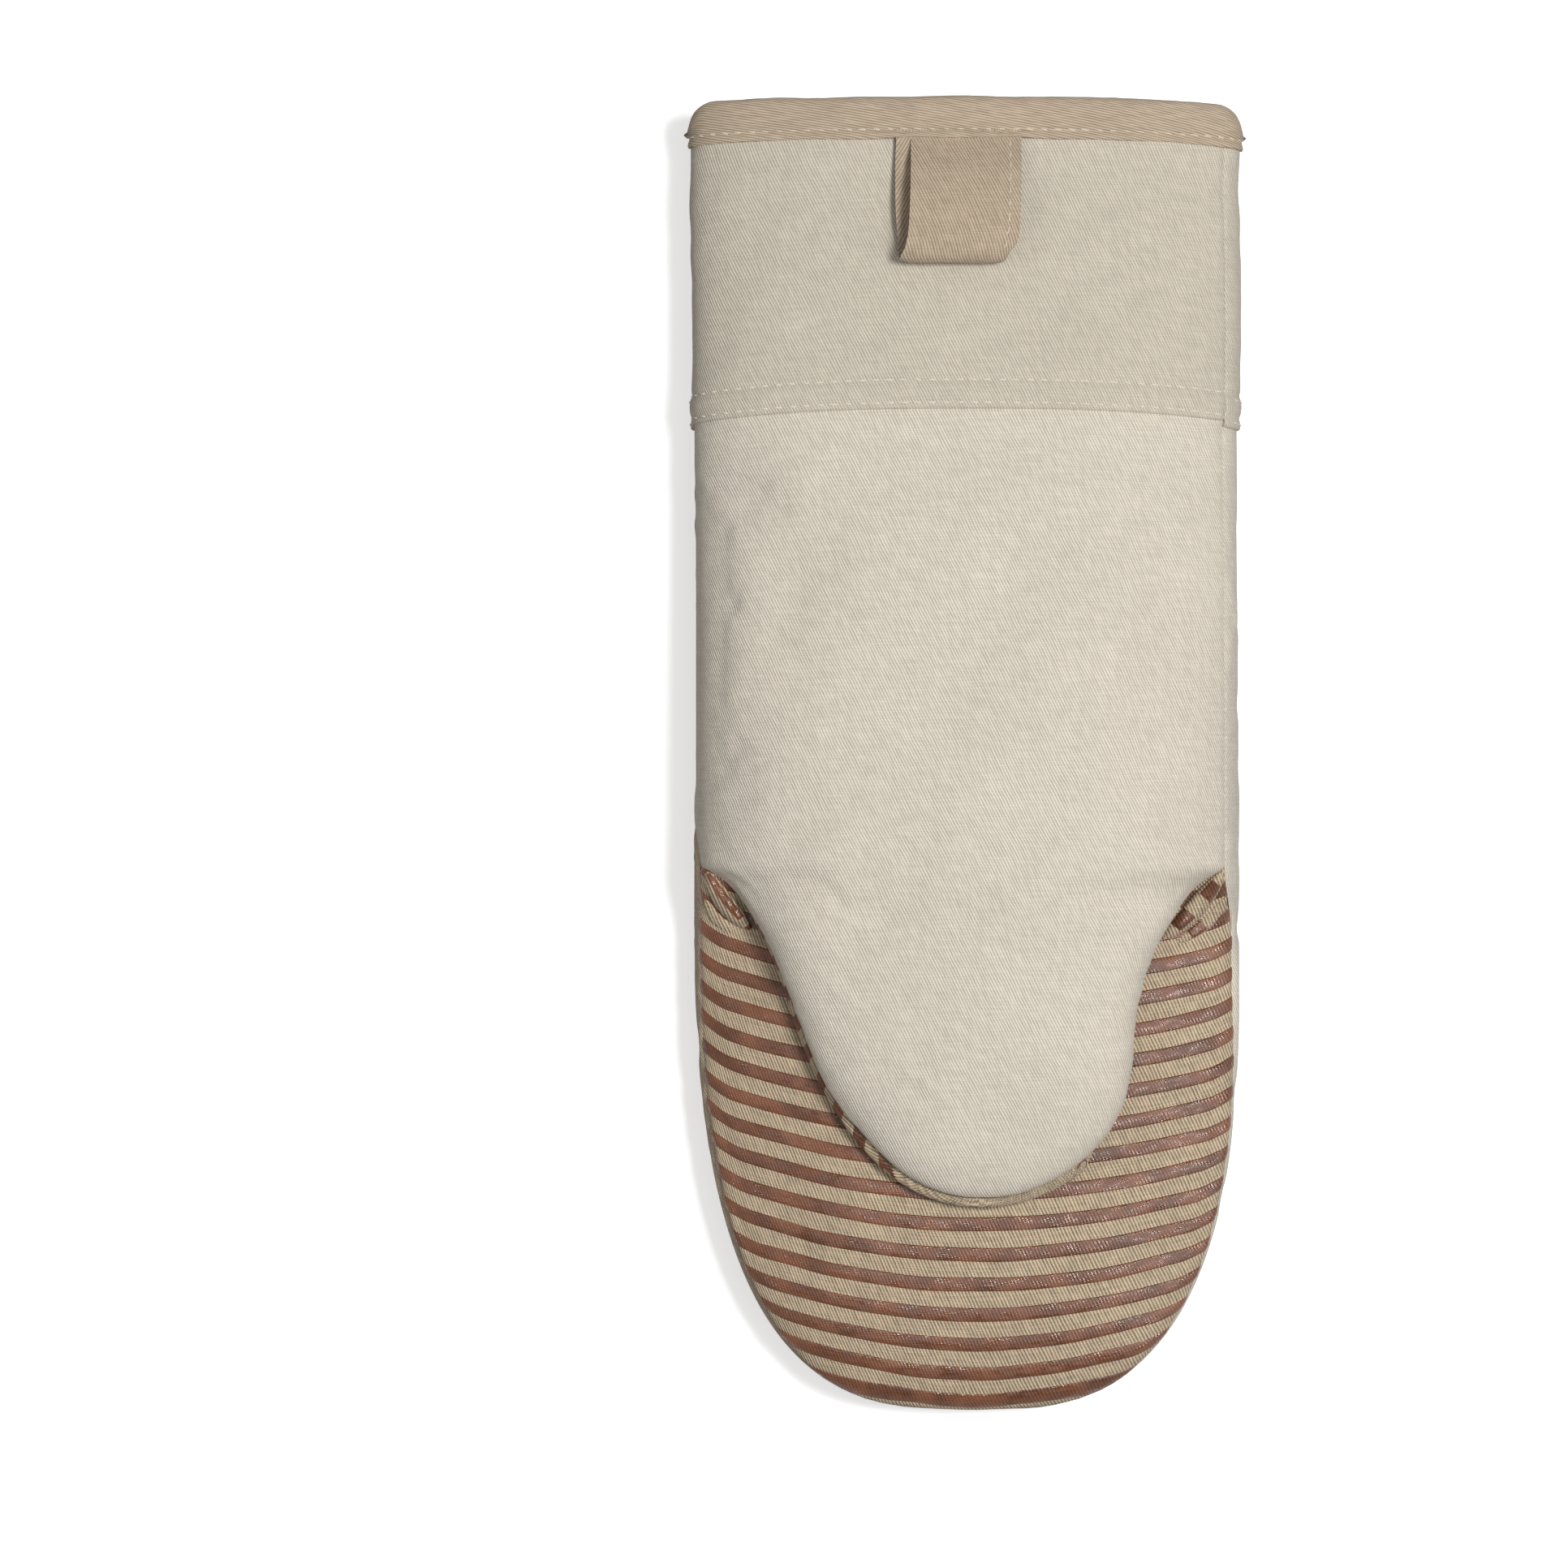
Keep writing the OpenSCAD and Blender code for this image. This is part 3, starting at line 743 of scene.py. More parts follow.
def wadding(name, rgb):
    """Needled fibre wadding: a soft felted mat."""
    s = Shader(name, 0.95, Sheen_Weight=0.4)
    fibres = s.math("ADD", s.noise(1.6, 4.0, (1.0, 0.25, 1.0)), s.noise(1.3, 4.0, (0.25, 1.0, 1.0)))
    return s.surface(s.tones(fibres, rgb, 0.85), s.span(fibres, 0.7, 1.3, 0.85, 1.0), s.bump(fibres, 0.25))


def ground(name):
    """A pale matt tabletop, lit a little from below as a light table is."""
    s = Shader(name, 0.9, Specular_IOR_Level=0.1, Emission_Strength=0.45)
    s.bsdf.inputs["Emission Color"].default_value = (1, 1, 1, 1)
    return s.surface((0.93, 0.93, 0.93, 1))


CREAM = twill("cream_twill", (211, 202, 187), contrast=0.125, relief=0.095)
# The palm's cream twill made darker for the cuff bands, as painted shade.
BAND_CREAM_SHADED = twill("cuff_cream_twill_painted_shade", (199, 190, 174), contrast=0.125, relief=0.095)
TAN = twill("tan_twill", (181, 163, 141), contrast=0.17, relief=0.10, tone=0.03)
BIAS = twill("tan_bias_twill", (184, 166, 144), 11, 0.62, contrast=0.17, relief=0.10, tone=0.03, wander=0.25)
STRIPED = twill("striped_cloth", (184, 165, 139), 66, 0.80, contrast=0.29, relief=0.12, tone=0.03)
LINING = twill("lining_cotton", (222, 214, 200), 80, 0.5, contrast=0.06, relief=0.04)
SILICONE = silicone("brown_silicone", (114, 72, 50))
SATIN = satin("grey_satin", (188, 188, 196))
WADDING = wadding("polyester_wadding", (235, 232, 225))
THREAD_CREAM = thread("cream_thread", (228, 220, 204))
THREAD_TAN = thread("tan_thread", (226, 210, 184))
# Painted shade: dark colours for the small lenses that stand for the shade in needle holes.
CREAM_HOLE_SHADE = painted_hole_shade("cream_needle_hole_painted_shade", (104, 92, 76))
TAN_HOLE_SHADE = painted_hole_shade("tan_needle_hole_painted_shade", (92, 76, 58))


def place(piece, where, slot, *nodes):
    """Rides a piece on a body, or bakes in the place of a piece that goes from the hand to another body, and
    hides the CAD nodes it stands for.
    """
    if where.startswith("hand_to_"):
        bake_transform(piece)
    else:
        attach(piece, where)
    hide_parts(*nodes)


def sew(name, p, thickness, material, where, slot, nodes, held, rests_on, **shape):
    """A cloth piece whose outer face is p, placed."""
    piece = thick_sheet(name, p, thickness, material, **shape)
    place(piece, where, slot, *nodes)


# ------------------------------------------------------------------ covers
PALM_Y = tip_rows(PANEL_TOP_Y, THUMB_TIP_Y, 10.0, 52 * SIM_STEP + 1)
FINGER_V = tip_rows(MOUTH_Y + 14, TIP_Y, 9.0, 46 * SIM_STEP + 1)
BACK_Y = tip_rows(PANEL_TOP_Y, TIP_Y, 12.0, 62 * SIM_STEP + 1)


def palm_relief(p):
    """The palm's faint diagonal ridges, where the wadding lies uneven under the cloth."""
    x, y = p[..., 0], p[..., 1]
    fade = smooth((90 - y) / 25) * smooth((y + 105) / 20) * smooth((60 - np.abs(x)) / 20)
    along = 0.62 * x + 0.78 * y
    across = -0.78 * x + 0.62 * y
    ridges = ripple(across, along * 0.35, 30, 5)
    return 0.65 * fade * ridges + 0.1 * ripple(x, y, 9, 6) * fade


def palm_cover():
    """Palm and thumb, one panel."""
    p = plump(palm_surface(PALM_Y, 44 * SIM_STEP + 1), 1.2, 0.012, 1.3, stiff_thumb=0.8)
    p = groove(p + normals(p) * palm_relief(p)[..., None], 0.35, 0.9)
    sew("palm_cover", p, TWILL_T, CREAM, "hand_to_thumb", "cream_twill", ["palm_panel", "thumb_panel"],
        "stretched", ["palm_batting"])


def finger_grid():
    """The finger cover's outer face. Above the mouth's corners it is tucked in under the palm."""
    p = settle(finger_surface(FINGER_V, 46 * SIM_STEP + 1), 1.5, 0.006, 1.4)
    p = p - normals(p) * (1.5 * smooth((p[..., 1] - CORNER_Y + 1.5) / 4))[..., None]
    return groove(p, 0.4, 0.9)


FINGER_GRID = finger_grid()


def finger_cover():
    sew("finger_cover", FINGER_GRID, TWILL_T, STRIPED, "hand_to_fingertips", "striped_fabric",
        ["finger_grip_panel", "fingertip_grip_panel"], "stretched", ["finger_batting"])


def edge_line(grid, distance, end):
    """The line at a distance from a grid's first column, or from its last one if end, and its normals."""
    n = normals(grid)
    across = arc(grid, 1)
    want = across[:, -1] - distance if end else np.full(len(grid), distance)
    line = np.empty((len(grid), 6))
    for i in range(len(grid)):
        for k in range(3):
            line[i, k] = np.interp(want[i], across[i], grid[i, :, k])
            line[i, 3 + k] = np.interp(want[i], across[i], n[i, :, k])
    return line[:, :3], line[:, 3:]


def back_covers():
    """The back's two panels, sewn to each other along the accent seam: returns their grids."""
    left, right = back_edges(BACK_Y)
    split = back_split(BACK_Y)
    grids = []
    for name, start, end, material, slot, nodes in (
        ("accent_cover", left, split, TAN, "tan_twill", ["accent_panel", "fingertip_accent_panel"]),
        ("back_cover", split, right, CREAM, "cream_twill", ["back_panel", "fingertip_back_panel"]),
    ):
        p = plump(back_surface(BACK_Y, 34 * SIM_STEP + 1, start, end), 0.6, 0.008, 0.7)
        p[..., 2] = soft_max(p[..., 2], 0.15, 0.2)
        p = groove(p, 0.35, 0.8)
        sew(name, p, TWILL_T, material, "hand_to_fingertips", slot, nodes, "stretched", ["back_batting"])
        grids.append(p)
    return grids


def accent_stitches(accent, back):
    """A row of stitches on both sides of the accent seam."""
    rows = (BACK_Y < HEM_Y - 3) & (BACK_Y > TIP_Y + 2.5)
    paths = []
    for grid, end in ((accent, True), (back, False)):
        line, n = edge_line(grid, ACCENT_STITCH_IN, end)
        paths.append((line[rows], n[rows]))
    piece = stitches("accent_seam_stitches", paths, 2.1, 0.19, [THREAD_TAN, TAN_HOLE_SHADE], 55)
    place(piece, "hand_to_fingertips", "thread", "accent_seam_thread", "fingertip_seam_thread")


def make_strips(name, strips):
    """One silicone mesh of raised strips: each is a grid of points and one of their places on the cloth."""
    faces = []
    offset = 0
    for p, _ in strips:
        n_rows, n_cols = p.shape[:2]
        faces += (quads(n_rows, n_cols) + offset).tolist()
        base = np.arange(n_cols - 1) + offset
        last = base + (n_rows - 1) * n_cols
        faces += np.stack([base, base + 1, last + 1, last], -1).tolist()
        for col in (0, n_cols - 1):
            faces.append([offset + col + r * n_cols for r in range(n_rows)])
        offset += n_rows * n_cols
    points, flat = (np.concatenate([strip[k].reshape(-1, 3) for strip in strips]) for k in (0, 1))
    return make_mesh(name, points, faces, flat, [SILICONE])


def finger_stripes():
    """Silicone stripes with rounded edges, each along a line straight across the flat finger cloth."""
    profile = (
        (-0.5, -0.25), (-0.48, 0.35), (-0.4, 0.75), (-0.2, 1.05), (0, 1.15),
        (0.2, 1.05), (0.4, 0.75), (0.48, 0.35), (0.5, -0.25),
    )
    coords = cloth_coords(FINGER_GRID)
    layers = (FINGER_GRID, normals(FINGER_GRID), coords)
    lines = [CURL_Y - STRIPE_PITCH / 2 + k * STRIPE_PITCH for k in range(-6, 11)]
    lines[0] += 0.6  # the stripe at the tip keeps clear of the edge
    order = np.argsort(FINGER_V)
    j = np.arange(coords.shape[1])
    strips = []
    for index, line in enumerate(lines):
        wobble = ripple(coords[0, :, 0], 0 * coords[0, :, 0] + 40 * index, 30, 21, 5) * 0.1
        points, flat = [], []
        for share, lift in profile:
            row = np.interp(line + wobble + share * STRIPE_W, FINGER_V[order], order.astype(float))
            i = np.clip(np.floor(row).astype(int), 0, len(coords) - 2)
            t = (row - i)[:, None]
            at, up, on_cloth = (layer[i, j] * (1 - t) + layer[i + 1, j] * t for layer in layers)
            points.append(at + up * lift * STRIPE_T)
            flat.append(on_cloth)
        strips.append((np.stack(points), np.stack(flat)))
    piece = make_strips("finger_silicone_stripes", strips)
    place(piece, "hand_to_fingertips", "silicone", "finger_grip_stripes", "fingertip_grip_stripes")


# ------------------------------------------------------------------ the thumb's facing and its rolled edge
def rim_line():
    """The thumb's edge, from the +X corner round the tip: points, outward directions and roll widths."""
    y = tip_rows(MOUTH_Y + 9, THUMB_TIP_Y, 10.0, 240)
    sides = []
    for side in (1, -1):
        x, z, _ = cover_edge(y, side)
        sides.append(np.stack([x, y, z], -1))
    line = np.concatenate([sides[0], sides[1][::-1]])
    tangent = np.gradient(line[:, :2], axis=0)
    tangent /= np.maximum(np.linalg.norm(tangent, axis=1, keepdims=True), 1e-9)
    outward = np.stack([-tangent[:, 1], tangent[:, 0]], -1)
    for _ in range(12):
        outward[1:-1] = (outward[:-2] + outward[1:-1] * 2 + outward[2:]) / 4
    outward /= np.linalg.norm(outward, axis=1, keepdims=True)
    t = MOUTH_Y - line[:, 1]
    shown = smooth((34 - line[:, 0]) / 8)
    wide = (0.75 + 1.75 * smooth((t - 38) / 26)) * smooth((t - 8) / 8)
    reach = shown * wide - 0.5 * (1 - shown) - 2.0 * (1 - smooth((t - 1) / 8))
    return line, outward, reach


RIM, RIM_OUT, RIM_REACH = rim_line()
ROLL_TOP = math.radians(105)


def roll(rim, reach):
    """The facing's rolled edge at points of the rim: its bottom, half height, half width and arc length."""
    bottom = finger_top(rim[:, 0], rim[:, 1]) + FACING_GAP
    height = np.maximum((rim[:, 2] - 0.2 - bottom) / 2, 0.3)
    width = 1.6 + 0.3 * reach
    return bottom, height, width, (math.pi / 2 + ROLL_TOP) * np.sqrt((height**2 + width**2) / 2)


def facing_point(flat):
    """Where a flat place [.., (u, v)] of the facing lies: under the thumb, or rolled round its edge."""
    shape = flat.shape[:-1]
    q = flat.reshape(-1, 2)
    nearest = np.empty(len(q), int)
    for part in np.array_split(np.arange(len(q)), max(1, len(q) // 4000)):
        gap = ((q[part, None, :] - RIM[None, :, :2]) ** 2).sum(-1)
        nearest[part] = gap.argmin(1)
    rim, out, reach = RIM[nearest], RIM_OUT[nearest], RIM_REACH[nearest]
    off = ((q - rim[:, :2]) * out).sum(-1)
    bottom, height, width, length = roll(rim, reach)
    centre = reach - width
    angle = -math.pi / 2 + np.clip((off - centre) / length, 0, 1) * (math.pi / 2 + ROLL_TOP)
    over = off > centre
    xy = np.where(over[:, None], rim[:, :2] + out * (centre + width * np.cos(angle))[:, None], q)
    under = finger_top(q[:, 0], q[:, 1]) + FACING_GAP
    z = np.where(over, bottom + height + height * np.sin(angle), under)
    z = np.where(over, z, under + (bottom - under) * np.exp(-np.clip(centre - off, 0, 99) / 1.5))
    return np.concatenate([xy, z[:, None]], -1).reshape(shape + (3,))


def facing_half(v, side):
    """How far the flat facing reaches at v, roll included."""
    _, _, width, length = roll(RIM, RIM_REACH)
    edge = RIM[:, :2] + RIM_OUT * (RIM_REACH - width + length)[:, None]
    part = edge[: len(edge) // 2] if side > 0 else edge[len(edge) // 2 :][::-1]
    order = np.argsort(part[:, 1])
    return np.interp(v, part[order, 1], part[order, 0])


def facing_grid(v, count):
    """Points and flat places of the facing at each v, closer together at its rolled edges."""
    tuck = 1 - FACING_TUCK * np.maximum(v - MOUTH_Y - 2.5, 0)
    right, left = facing_half(v, 1) * tuck, facing_half(v, -1) * tuck
    s = np.sin(np.linspace(-math.pi / 2, math.pi / 2, count)) * 0.5 + 0.5
    s = 0.6 * s + 0.4 * np.linspace(0, 1, count)
    u = right[:, None] * (1 - s) + left[:, None] * s
    flat = np.stack([u, np.repeat(v[:, None], count, 1)], -1)
    coords = np.concatenate([flat, np.zeros(flat.shape[:-1] + (1,))], -1)
    return facing_point(flat), coords


FACING_TIP = min(RIM[:, 1]) - 7.6


def thumb_facing():
    v = tip_rows(MOUTH_Y + 11, FACING_TIP, 8.0, 160)
    p, coords = facing_grid(v, 150)
    sew("thumb_facing", p, TWILL_T, STRIPED, "hand_to_thumb", "striped_fabric", ["thumb_grip_panel"],
        "stretched", ["thumb_grip_batting"], coords=coords, outward=-normals(p))


def facing_stripes():
    """Silicone stripes of the facing, which show at the roll as small brown patches."""
    profile = np.array([
        [-0.5, -0.25], [-0.46, 0.7], [-0.3, 1.0], [0, 1.05], [0.3, 1.0], [0.46, 0.7], [0.5, -0.25],
    ])
    strips = []
    for k in range(11):
        v = MOUTH_Y + 0.4 - k * STRIPE_PITCH + profile[:, 0] * STRIPE_W
        rows = np.sort(np.concatenate([v, [v.min() - 0.4, v.max() + 0.4]]))
        grid, coords = facing_grid(rows, 110)
        up = -normals(grid)[1:-1]
        strips.append((grid[1:-1] + up * (profile[:, 1] * STRIPE_T)[:, None, None], coords[1:-1]))
    piece = make_strips("thumb_silicone_stripes", strips)
    place(piece, "hand_to_thumb", "silicone", "thumb_grip_stripes")


# Side, start, end, half width, height and outward bow of each fold, and the silicone on it as start and end
# along the fold, middle and half width across it.
CORNER_FOLDS = (
    (-1, (-65.8, -28.9), (-54.4, -43.6), 2.5, 3.2, 1.0, ((0.0, 0.80, -0.25, 0.5), (0.88, 1.0, -0.2, 0.8))),
    (-1, (-66.8, -34.6), (-57.8, -44.6), 1.5, 0.9, 1.4, ()),
    (1, (63.8, -28.9), (49.2, -45.8), 2.7, 3.2, 1.0, ((0.10, 0.36, 0.1, 0.8), (0.55, 0.82, -0.1, 0.8))),
    (1, (66.4, -34.4), (52.0, -47.0), 1.7, 1.1, 1.4, ((0.50, 0.78, 0.0, 0.9),)),
)


def corner_folds():
    """Folds of slack under both corners of the mouth, where the finger cloth turns up into the facing."""
    points, faces, flat, kinds = [], [], [], []
    offset = 0
    n_s, n_q = 49, 29
    q = np.linspace(1, -1, n_q)
    for side, start, end, width, height, bow, patches in CORNER_FOLDS:
        start, end = np.array(start), np.array(end)
        run = end - start
        outward = np.array([-run[1], run[0]]) / np.linalg.norm(run) * side
        s = np.linspace(0, 1, n_s)[:, None]
        swell = np.sin(math.pi * s) ** 0.45
        middle = start + run * s + outward * bow * np.sin(math.pi * s)
        xy = middle[:, None, :] + outward * (q[None, :, None] * (width * swell)[:, :, None])
        edge = side * hand_mid(xy[..., 1]) + hand_w(xy[..., 1]) * cosp(seam_angle(xy[..., 1], side)) - 0.7
        xy[..., 0] = side * np.minimum(side * xy[..., 0], edge)
        round_q = np.sqrt(np.clip(1 - q**2, 0, 1))
        strip = 0 * s * q
        for first, last, centre, half in patches:
            across = smooth((half - np.abs(q - centre)) / 0.14)
            strip = np.maximum(strip, across * smooth((last - s) / 0.05) * smooth((s - first) / 0.05))
        crumple = 0.14 * swell * ripple(0.35 * xy[..., 0] + 0.5 * xy[..., 1], xy[..., 0] - xy[..., 1], 4, 71)
        base = finger_top(xy[..., 0], xy[..., 1])
        top_z = base - 0.3 + swell * height * round_q + 0.25 * strip + crumple
        top = np.stack([xy[..., 0], xy[..., 1], top_z], -1)
        below = np.stack([xy[..., 0], xy[..., 1], base - 0.8], -1)
        made = shell_faces(n_s, n_q, offset=offset)
        coords = np.stack([xy[..., 0], xy[..., 1], 0 * base], -1)
        points += [top.reshape(-1, 3), below.reshape(-1, 3)]
        flat += [coords.reshape(-1, 3)] * 2
        faces.append(made)
        cell = (strip[:-1, :-1] > 0.5).ravel().astype(int)
        kinds.append(np.concatenate([cell, np.zeros(len(made) - len(cell), int)]))
        offset += 2 * n_s * n_q
    points, faces, flat, kinds = (np.concatenate(part) for part in (points, faces, flat, kinds))
    piece = make_mesh("mouth_corner_folds", points, faces, flat, [STRIPED, SILICONE], kinds)
    place(piece, "hand", "striped_fabric")


# ------------------------------------------------------------------ stitches
def stitches(name, paths, length, radius, materials, seed, shade_dot=0.34):
    """Running stitches along paths of (points, normals): threads that dip, each beside a small dark lens of
    painted shade at its needle hole.
    """
    rng = np.random.default_rng(seed)
    points, faces, flat, kinds = [], [], [], []
    total = 0
    size = STITCH_ROWS * STITCH_SIDES
    ring = np.linspace(0, 2 * math.pi, STITCH_SIDES + 1)[:-1]
    bow = np.sin(np.linspace(0, math.pi, STITCH_ROWS))
    for line, up in paths:
        along = run_length(line)
        for start in np.arange(0.8, along[-1] - length, STITCH_PITCH):
            span = length * rng.uniform(0.85, 1.1)
            s = np.linspace(start, start + span, STITCH_ROWS)
            at = np.stack([np.interp(s, along, line[:, k]) for k in range(3)], -1)
            n = np.stack([np.interp(s, along, up[:, k]) for k in range(3)], -1)
            tangent = at[-1] - at[0]
            tangent /= np.linalg.norm(tangent)
            side = np.cross(tangent, n[STITCH_ROWS // 2])
            skew = np.linspace(-1, 1, STITCH_ROWS) * rng.uniform(0.0, 0.22)
            at = at + n * (0.02 + radius * (1.5 * bow**0.6 - 0.9))[:, None] + side * skew[:, None]
            thick = radius * (0.55 + 0.45 * bow)
            tube = at[:, None, :] + thick[:, None, None] * (
                np.cos(ring)[None, :, None] * side + np.sin(ring)[None, :, None] * n[:, None, :]
            )
            points.append(tube.reshape(-1, 3))
            u, w = np.meshgrid(np.linspace(0, span, STITCH_ROWS), ring / (2 * math.pi), indexing="ij")
            flat.append(np.stack([w, u, 0 * u], -1).reshape(-1, 3))
            tube_faces = quads(STITCH_ROWS, STITCH_SIDES, total, wrap=True).tolist()
            for first in (total, total + size - STITCH_SIDES):
                tube_faces.append(list(range(first, first + STITCH_SIDES)))
            faces += tube_faces
            kinds += [0] * len(tube_faces)
            total += size
            # A small dark lens on the cloth beside the stitch: painted shade for its needle hole.
            if shade_dot:
                centre = at[0] - tangent * 0.12 + n[0] * 0.02
                oval = np.cos(ring)[:, None] * tangent + 0.75 * np.sin(ring)[:, None] * side
                lens = centre + shade_dot * oval
                peak = np.stack([centre + n[0] * 0.07, centre - n[0] * 0.1])
                points.append(np.concatenate([lens, peak]))
                flat.append(np.zeros((STITCH_SIDES + 2, 3)) + [start, 0, 0])
                for k in range(STITCH_SIDES):
                    a, b = total + k, total + (k + 1) % STITCH_SIDES
                    faces += [[a, b, total + STITCH_SIDES], [b, a, total + STITCH_SIDES + 1]]
                kinds += [1] * (2 * STITCH_SIDES)
                total += STITCH_SIDES + 2
    return make_mesh(name, np.concatenate(points), faces, np.concatenate(flat), materials, kinds)


# ------------------------------------------------------------------ cuff band, binding, loop and label
def band_lift(y, hem):
    """How far the band stands off the cover: a doubled hem, pressed down along its two stitch rows."""
    lip = np.sqrt(np.clip(1 - (1 - np.clip((y - hem) / 0.9, 0, 1)) ** 2, 0, 1))
    rows = sum(np.exp(-(((y - row) / 0.7) ** 2)) for row in HEM_STITCH_YS)
    puff = 0.35 * np.exp(-(((y - np.mean(HEM_STITCH_YS)) / 1.9) ** 2))
    return BAND_LIFT * (0.15 + 0.85 * lip) - 0.3 * rows + puff


def band_rows(hem):
    """Heights of a band's rows from the cuff down to its hem, closer together at the hem."""
    close = np.linspace(hem, hem + 11, 34)
    return np.concatenate([close, np.linspace(hem + 11, BINDING_Y + 3, 48)[1:]])[::-1]


def cuff_wrinkles(p):
    """Soft wrinkles of a band, stronger as pulls towards the side seams."""
    x, y = p[..., 0], p[..., 1]
    fade = smooth((y - HEM_Y - 2) / 14) * smooth((BINDING_Y - y) / 10)
    pulls = smooth((np.abs(x) - 48) / 16) * ripple(0.25 * x, y, 9, 11)
    return fade * (0.42 * ripple(x, y, 36, 9) + 0.07 * ripple(x, y, 11, 10) + 0.1 * pulls)


def line_on(grid, y):
    """The line across a grid whose rows lie at one height each, at y, with the normals along it."""
    n = normals(grid)
    heights = grid[:, grid.shape[1] // 2, 1]
    row = np.interp(-y, -heights, np.arange(len(heights)))
    i = int(row)
    t = row - i
    return grid[i] * (1 - t) + grid[i + 1] * t, n[i]


def band_surface(hem, p):
    """A band's outer face, where p is the cover below it."""
    p = p + normals(p) * (band_lift(p[..., 1], hem) + cuff_wrinkles(p))[..., None]
    return groove(p, 0.35, 0.8)


def cuff_bands():
    """The palm's and the back's bands, each with two rows of stitches: returns the back's grid."""
    palm_y, back_y = band_rows(HEM_Y), band_rows(HEM_Y - BACK_HEM_DROP)
    palm_band = band_surface(HEM_Y, palm_surface(palm_y, 181))
    back_band = band_surface(HEM_Y - BACK_HEM_DROP, back_surface(back_y, 201, *back_edges(back_y)))
    sew("cuff_band_top", palm_band, 0.8, BAND_CREAM_SHADED, "hand", "cream_twill", ["cuff_band_palm"],
        "stretched", ["palm_cover"])
    sew("cuff_band_under", back_band, 0.8, BAND_CREAM_SHADED, "hand", "cream_twill", ["cuff_band_back"],
        "stretched", ["back_cover"])
    for name, grid, node, drop, seed in (
        ("palm_cuff_stitches", palm_band, "cuff_topstitch_palm", 0, 51),
        ("back_cuff_stitches", back_band, "cuff_topstitch_back", BACK_HEM_DROP, 52),
    ):
        paths = [line_on(grid, y - drop) for y in HEM_STITCH_YS]
        piece = stitches(name, paths, 2.1, 0.22, [THREAD_CREAM, CREAM_HOLE_SHADE], seed, 0.5)
        place(piece, "hand", "thread", node)
    return back_band


def side_seam_stitches(band, back):
    """Small stitches that show in the +X side seam, on the band and on the back below it."""
    paths = []
    for grid in (band, back):
        line, n = edge_line(grid, 0.5, True)
        y = line[:, 1]
        rows = (y > MOUTH_Y + 4) & (y < BINDING_Y - 1)
        if grid is back:
            rows &= y < HEM_Y - BACK_HEM_DROP - 1
        paths.append((line[rows], n[rows]))
    piece = stitches("side_seam_stitches", paths, 1.4, 0.12, [THREAD_CREAM], 54, 0)
    place(piece, "hand", "thread", "side_seam_stitch")


def cuff_ring(y, out, count=300):
    """A closed ring round the cuff at y, out millimetres outside the cover."""
    a = np.linspace(0, 2 * math.pi, count, endpoint=False)
    x = hand_mid(y) + (HALF_W + out) * cosp(a)
    over = SEAM_Z + (palm_h(y) + out) * sinp(a)
    under = soft_max(table_z(y) - out + 0.1, SEAM_Z - (BACK_H + out) * sinp(a))
    ring = np.stack([x, np.full(count, y), np.where(a < math.pi, over, under)], -1)
    corner = 4.5
    past = np.clip(np.abs(x - hand_mid(y)) - (HALF_W + out - corner), 0, corner)
    ring[:, 1] -= (corner - np.sqrt(corner**2 - past**2)) * smooth((y - 157) / 6)
    return ring


def catmull(points, step_count):
    """A smooth curve through points, as step_count points."""
    points = np.asarray(points, float)
    padded = np.concatenate([points[:1], points, points[-1:]])
    t = np.linspace(0, len(points) - 1, step_count)
    i = np.minimum(t.astype(int), len(points) - 2)
    f = (t - i)[:, None]
    a, b, c, d = padded[i], padded[i + 1], padded[i + 2], padded[i + 3]
    return 0.5 * (2 * b + (c - a) * f + (2 * a - 5 * b + 4 * c - d) * f**2 + (3 * b - a - 3 * c + d) * f**3)


def binding():
    """A bias tape folded over the cuff's edge, and its row of stitches on both faces."""
    s = BINDING_STITCH_Y
    y0, y1 = BINDING_Y, CUFF_Y
    from_outer_lip_to_inner = [
        (0.9, y0), (1.45, y0 - 0.1), (1.65, y0 + 0.6), (1.3, s - 0.1), (1.7, s + 1.2), (1.8, s + 3.2),
        (1.7, y1 - 2.8), (1.0, y1 - 0.6), (-0.6, y1 + 0.4), (-2.6, y1 + 0.1), (-4.2, y1 - 1.4),
        (-5.0, y1 - 3.6), (-5.3, y1 - 6), (-5.2, y0 + 0.6), (-4.9, y0), (-4.6, y0 + 0.1),
    ]
    profile = catmull(from_outer_lip_to_inner, 76)
    p = np.stack([cuff_ring(y, out) for out, y in profile])
    n = -normals(p, True)
    outer = int(profile[:, 0].argmax())
    across = np.repeat(arc(p, 1)[outer][None, :], len(p), 0)
    along = np.repeat(arc(p, 0)[:, p.shape[1] // 4][:, None], p.shape[1], 1)
    gather = 0.03 * ripple(across, along, 6, 31) + 0.14 * ripple(across, along, 24, 32)
    over_loop = smooth((LOOP_W / 2 + 7 - np.abs(p[..., 0] + 2.4)) / 4) * smooth((s + 1.5 - p[..., 1]) / 3)
    over_loop *= (profile[:, 0] > 0.5)[:, None] * (p[..., 2] > SEAM_Z)
    p = p + n * gather[..., None]
    p[..., 2] += LOOP_BULGE * over_loop
    coords = np.stack([-across, along, 0 * across], -1)
    sew("cuff_edge_binding", p, 0.7, BIAS, "hand", "tan_twill", ["cuff_binding"],
        "folded", ["cuff_band_top"], coords=coords, wrap=True, outward=n)
    row = int(np.abs(profile[:outer, 1] - s).argmin())
    half, clear = p.shape[1] // 2, 5
    faces = [slice(a + clear, a + half - clear) for a in (0, half)]
    paths = [(p[row, face], n[row, face]) for face in faces]
    piece = stitches("binding_stitches", paths, 2.0, 0.2, [THREAD_TAN, TAN_HOLE_SHADE], 53)
    place(piece, "hand", "thread", "binding_stitch")


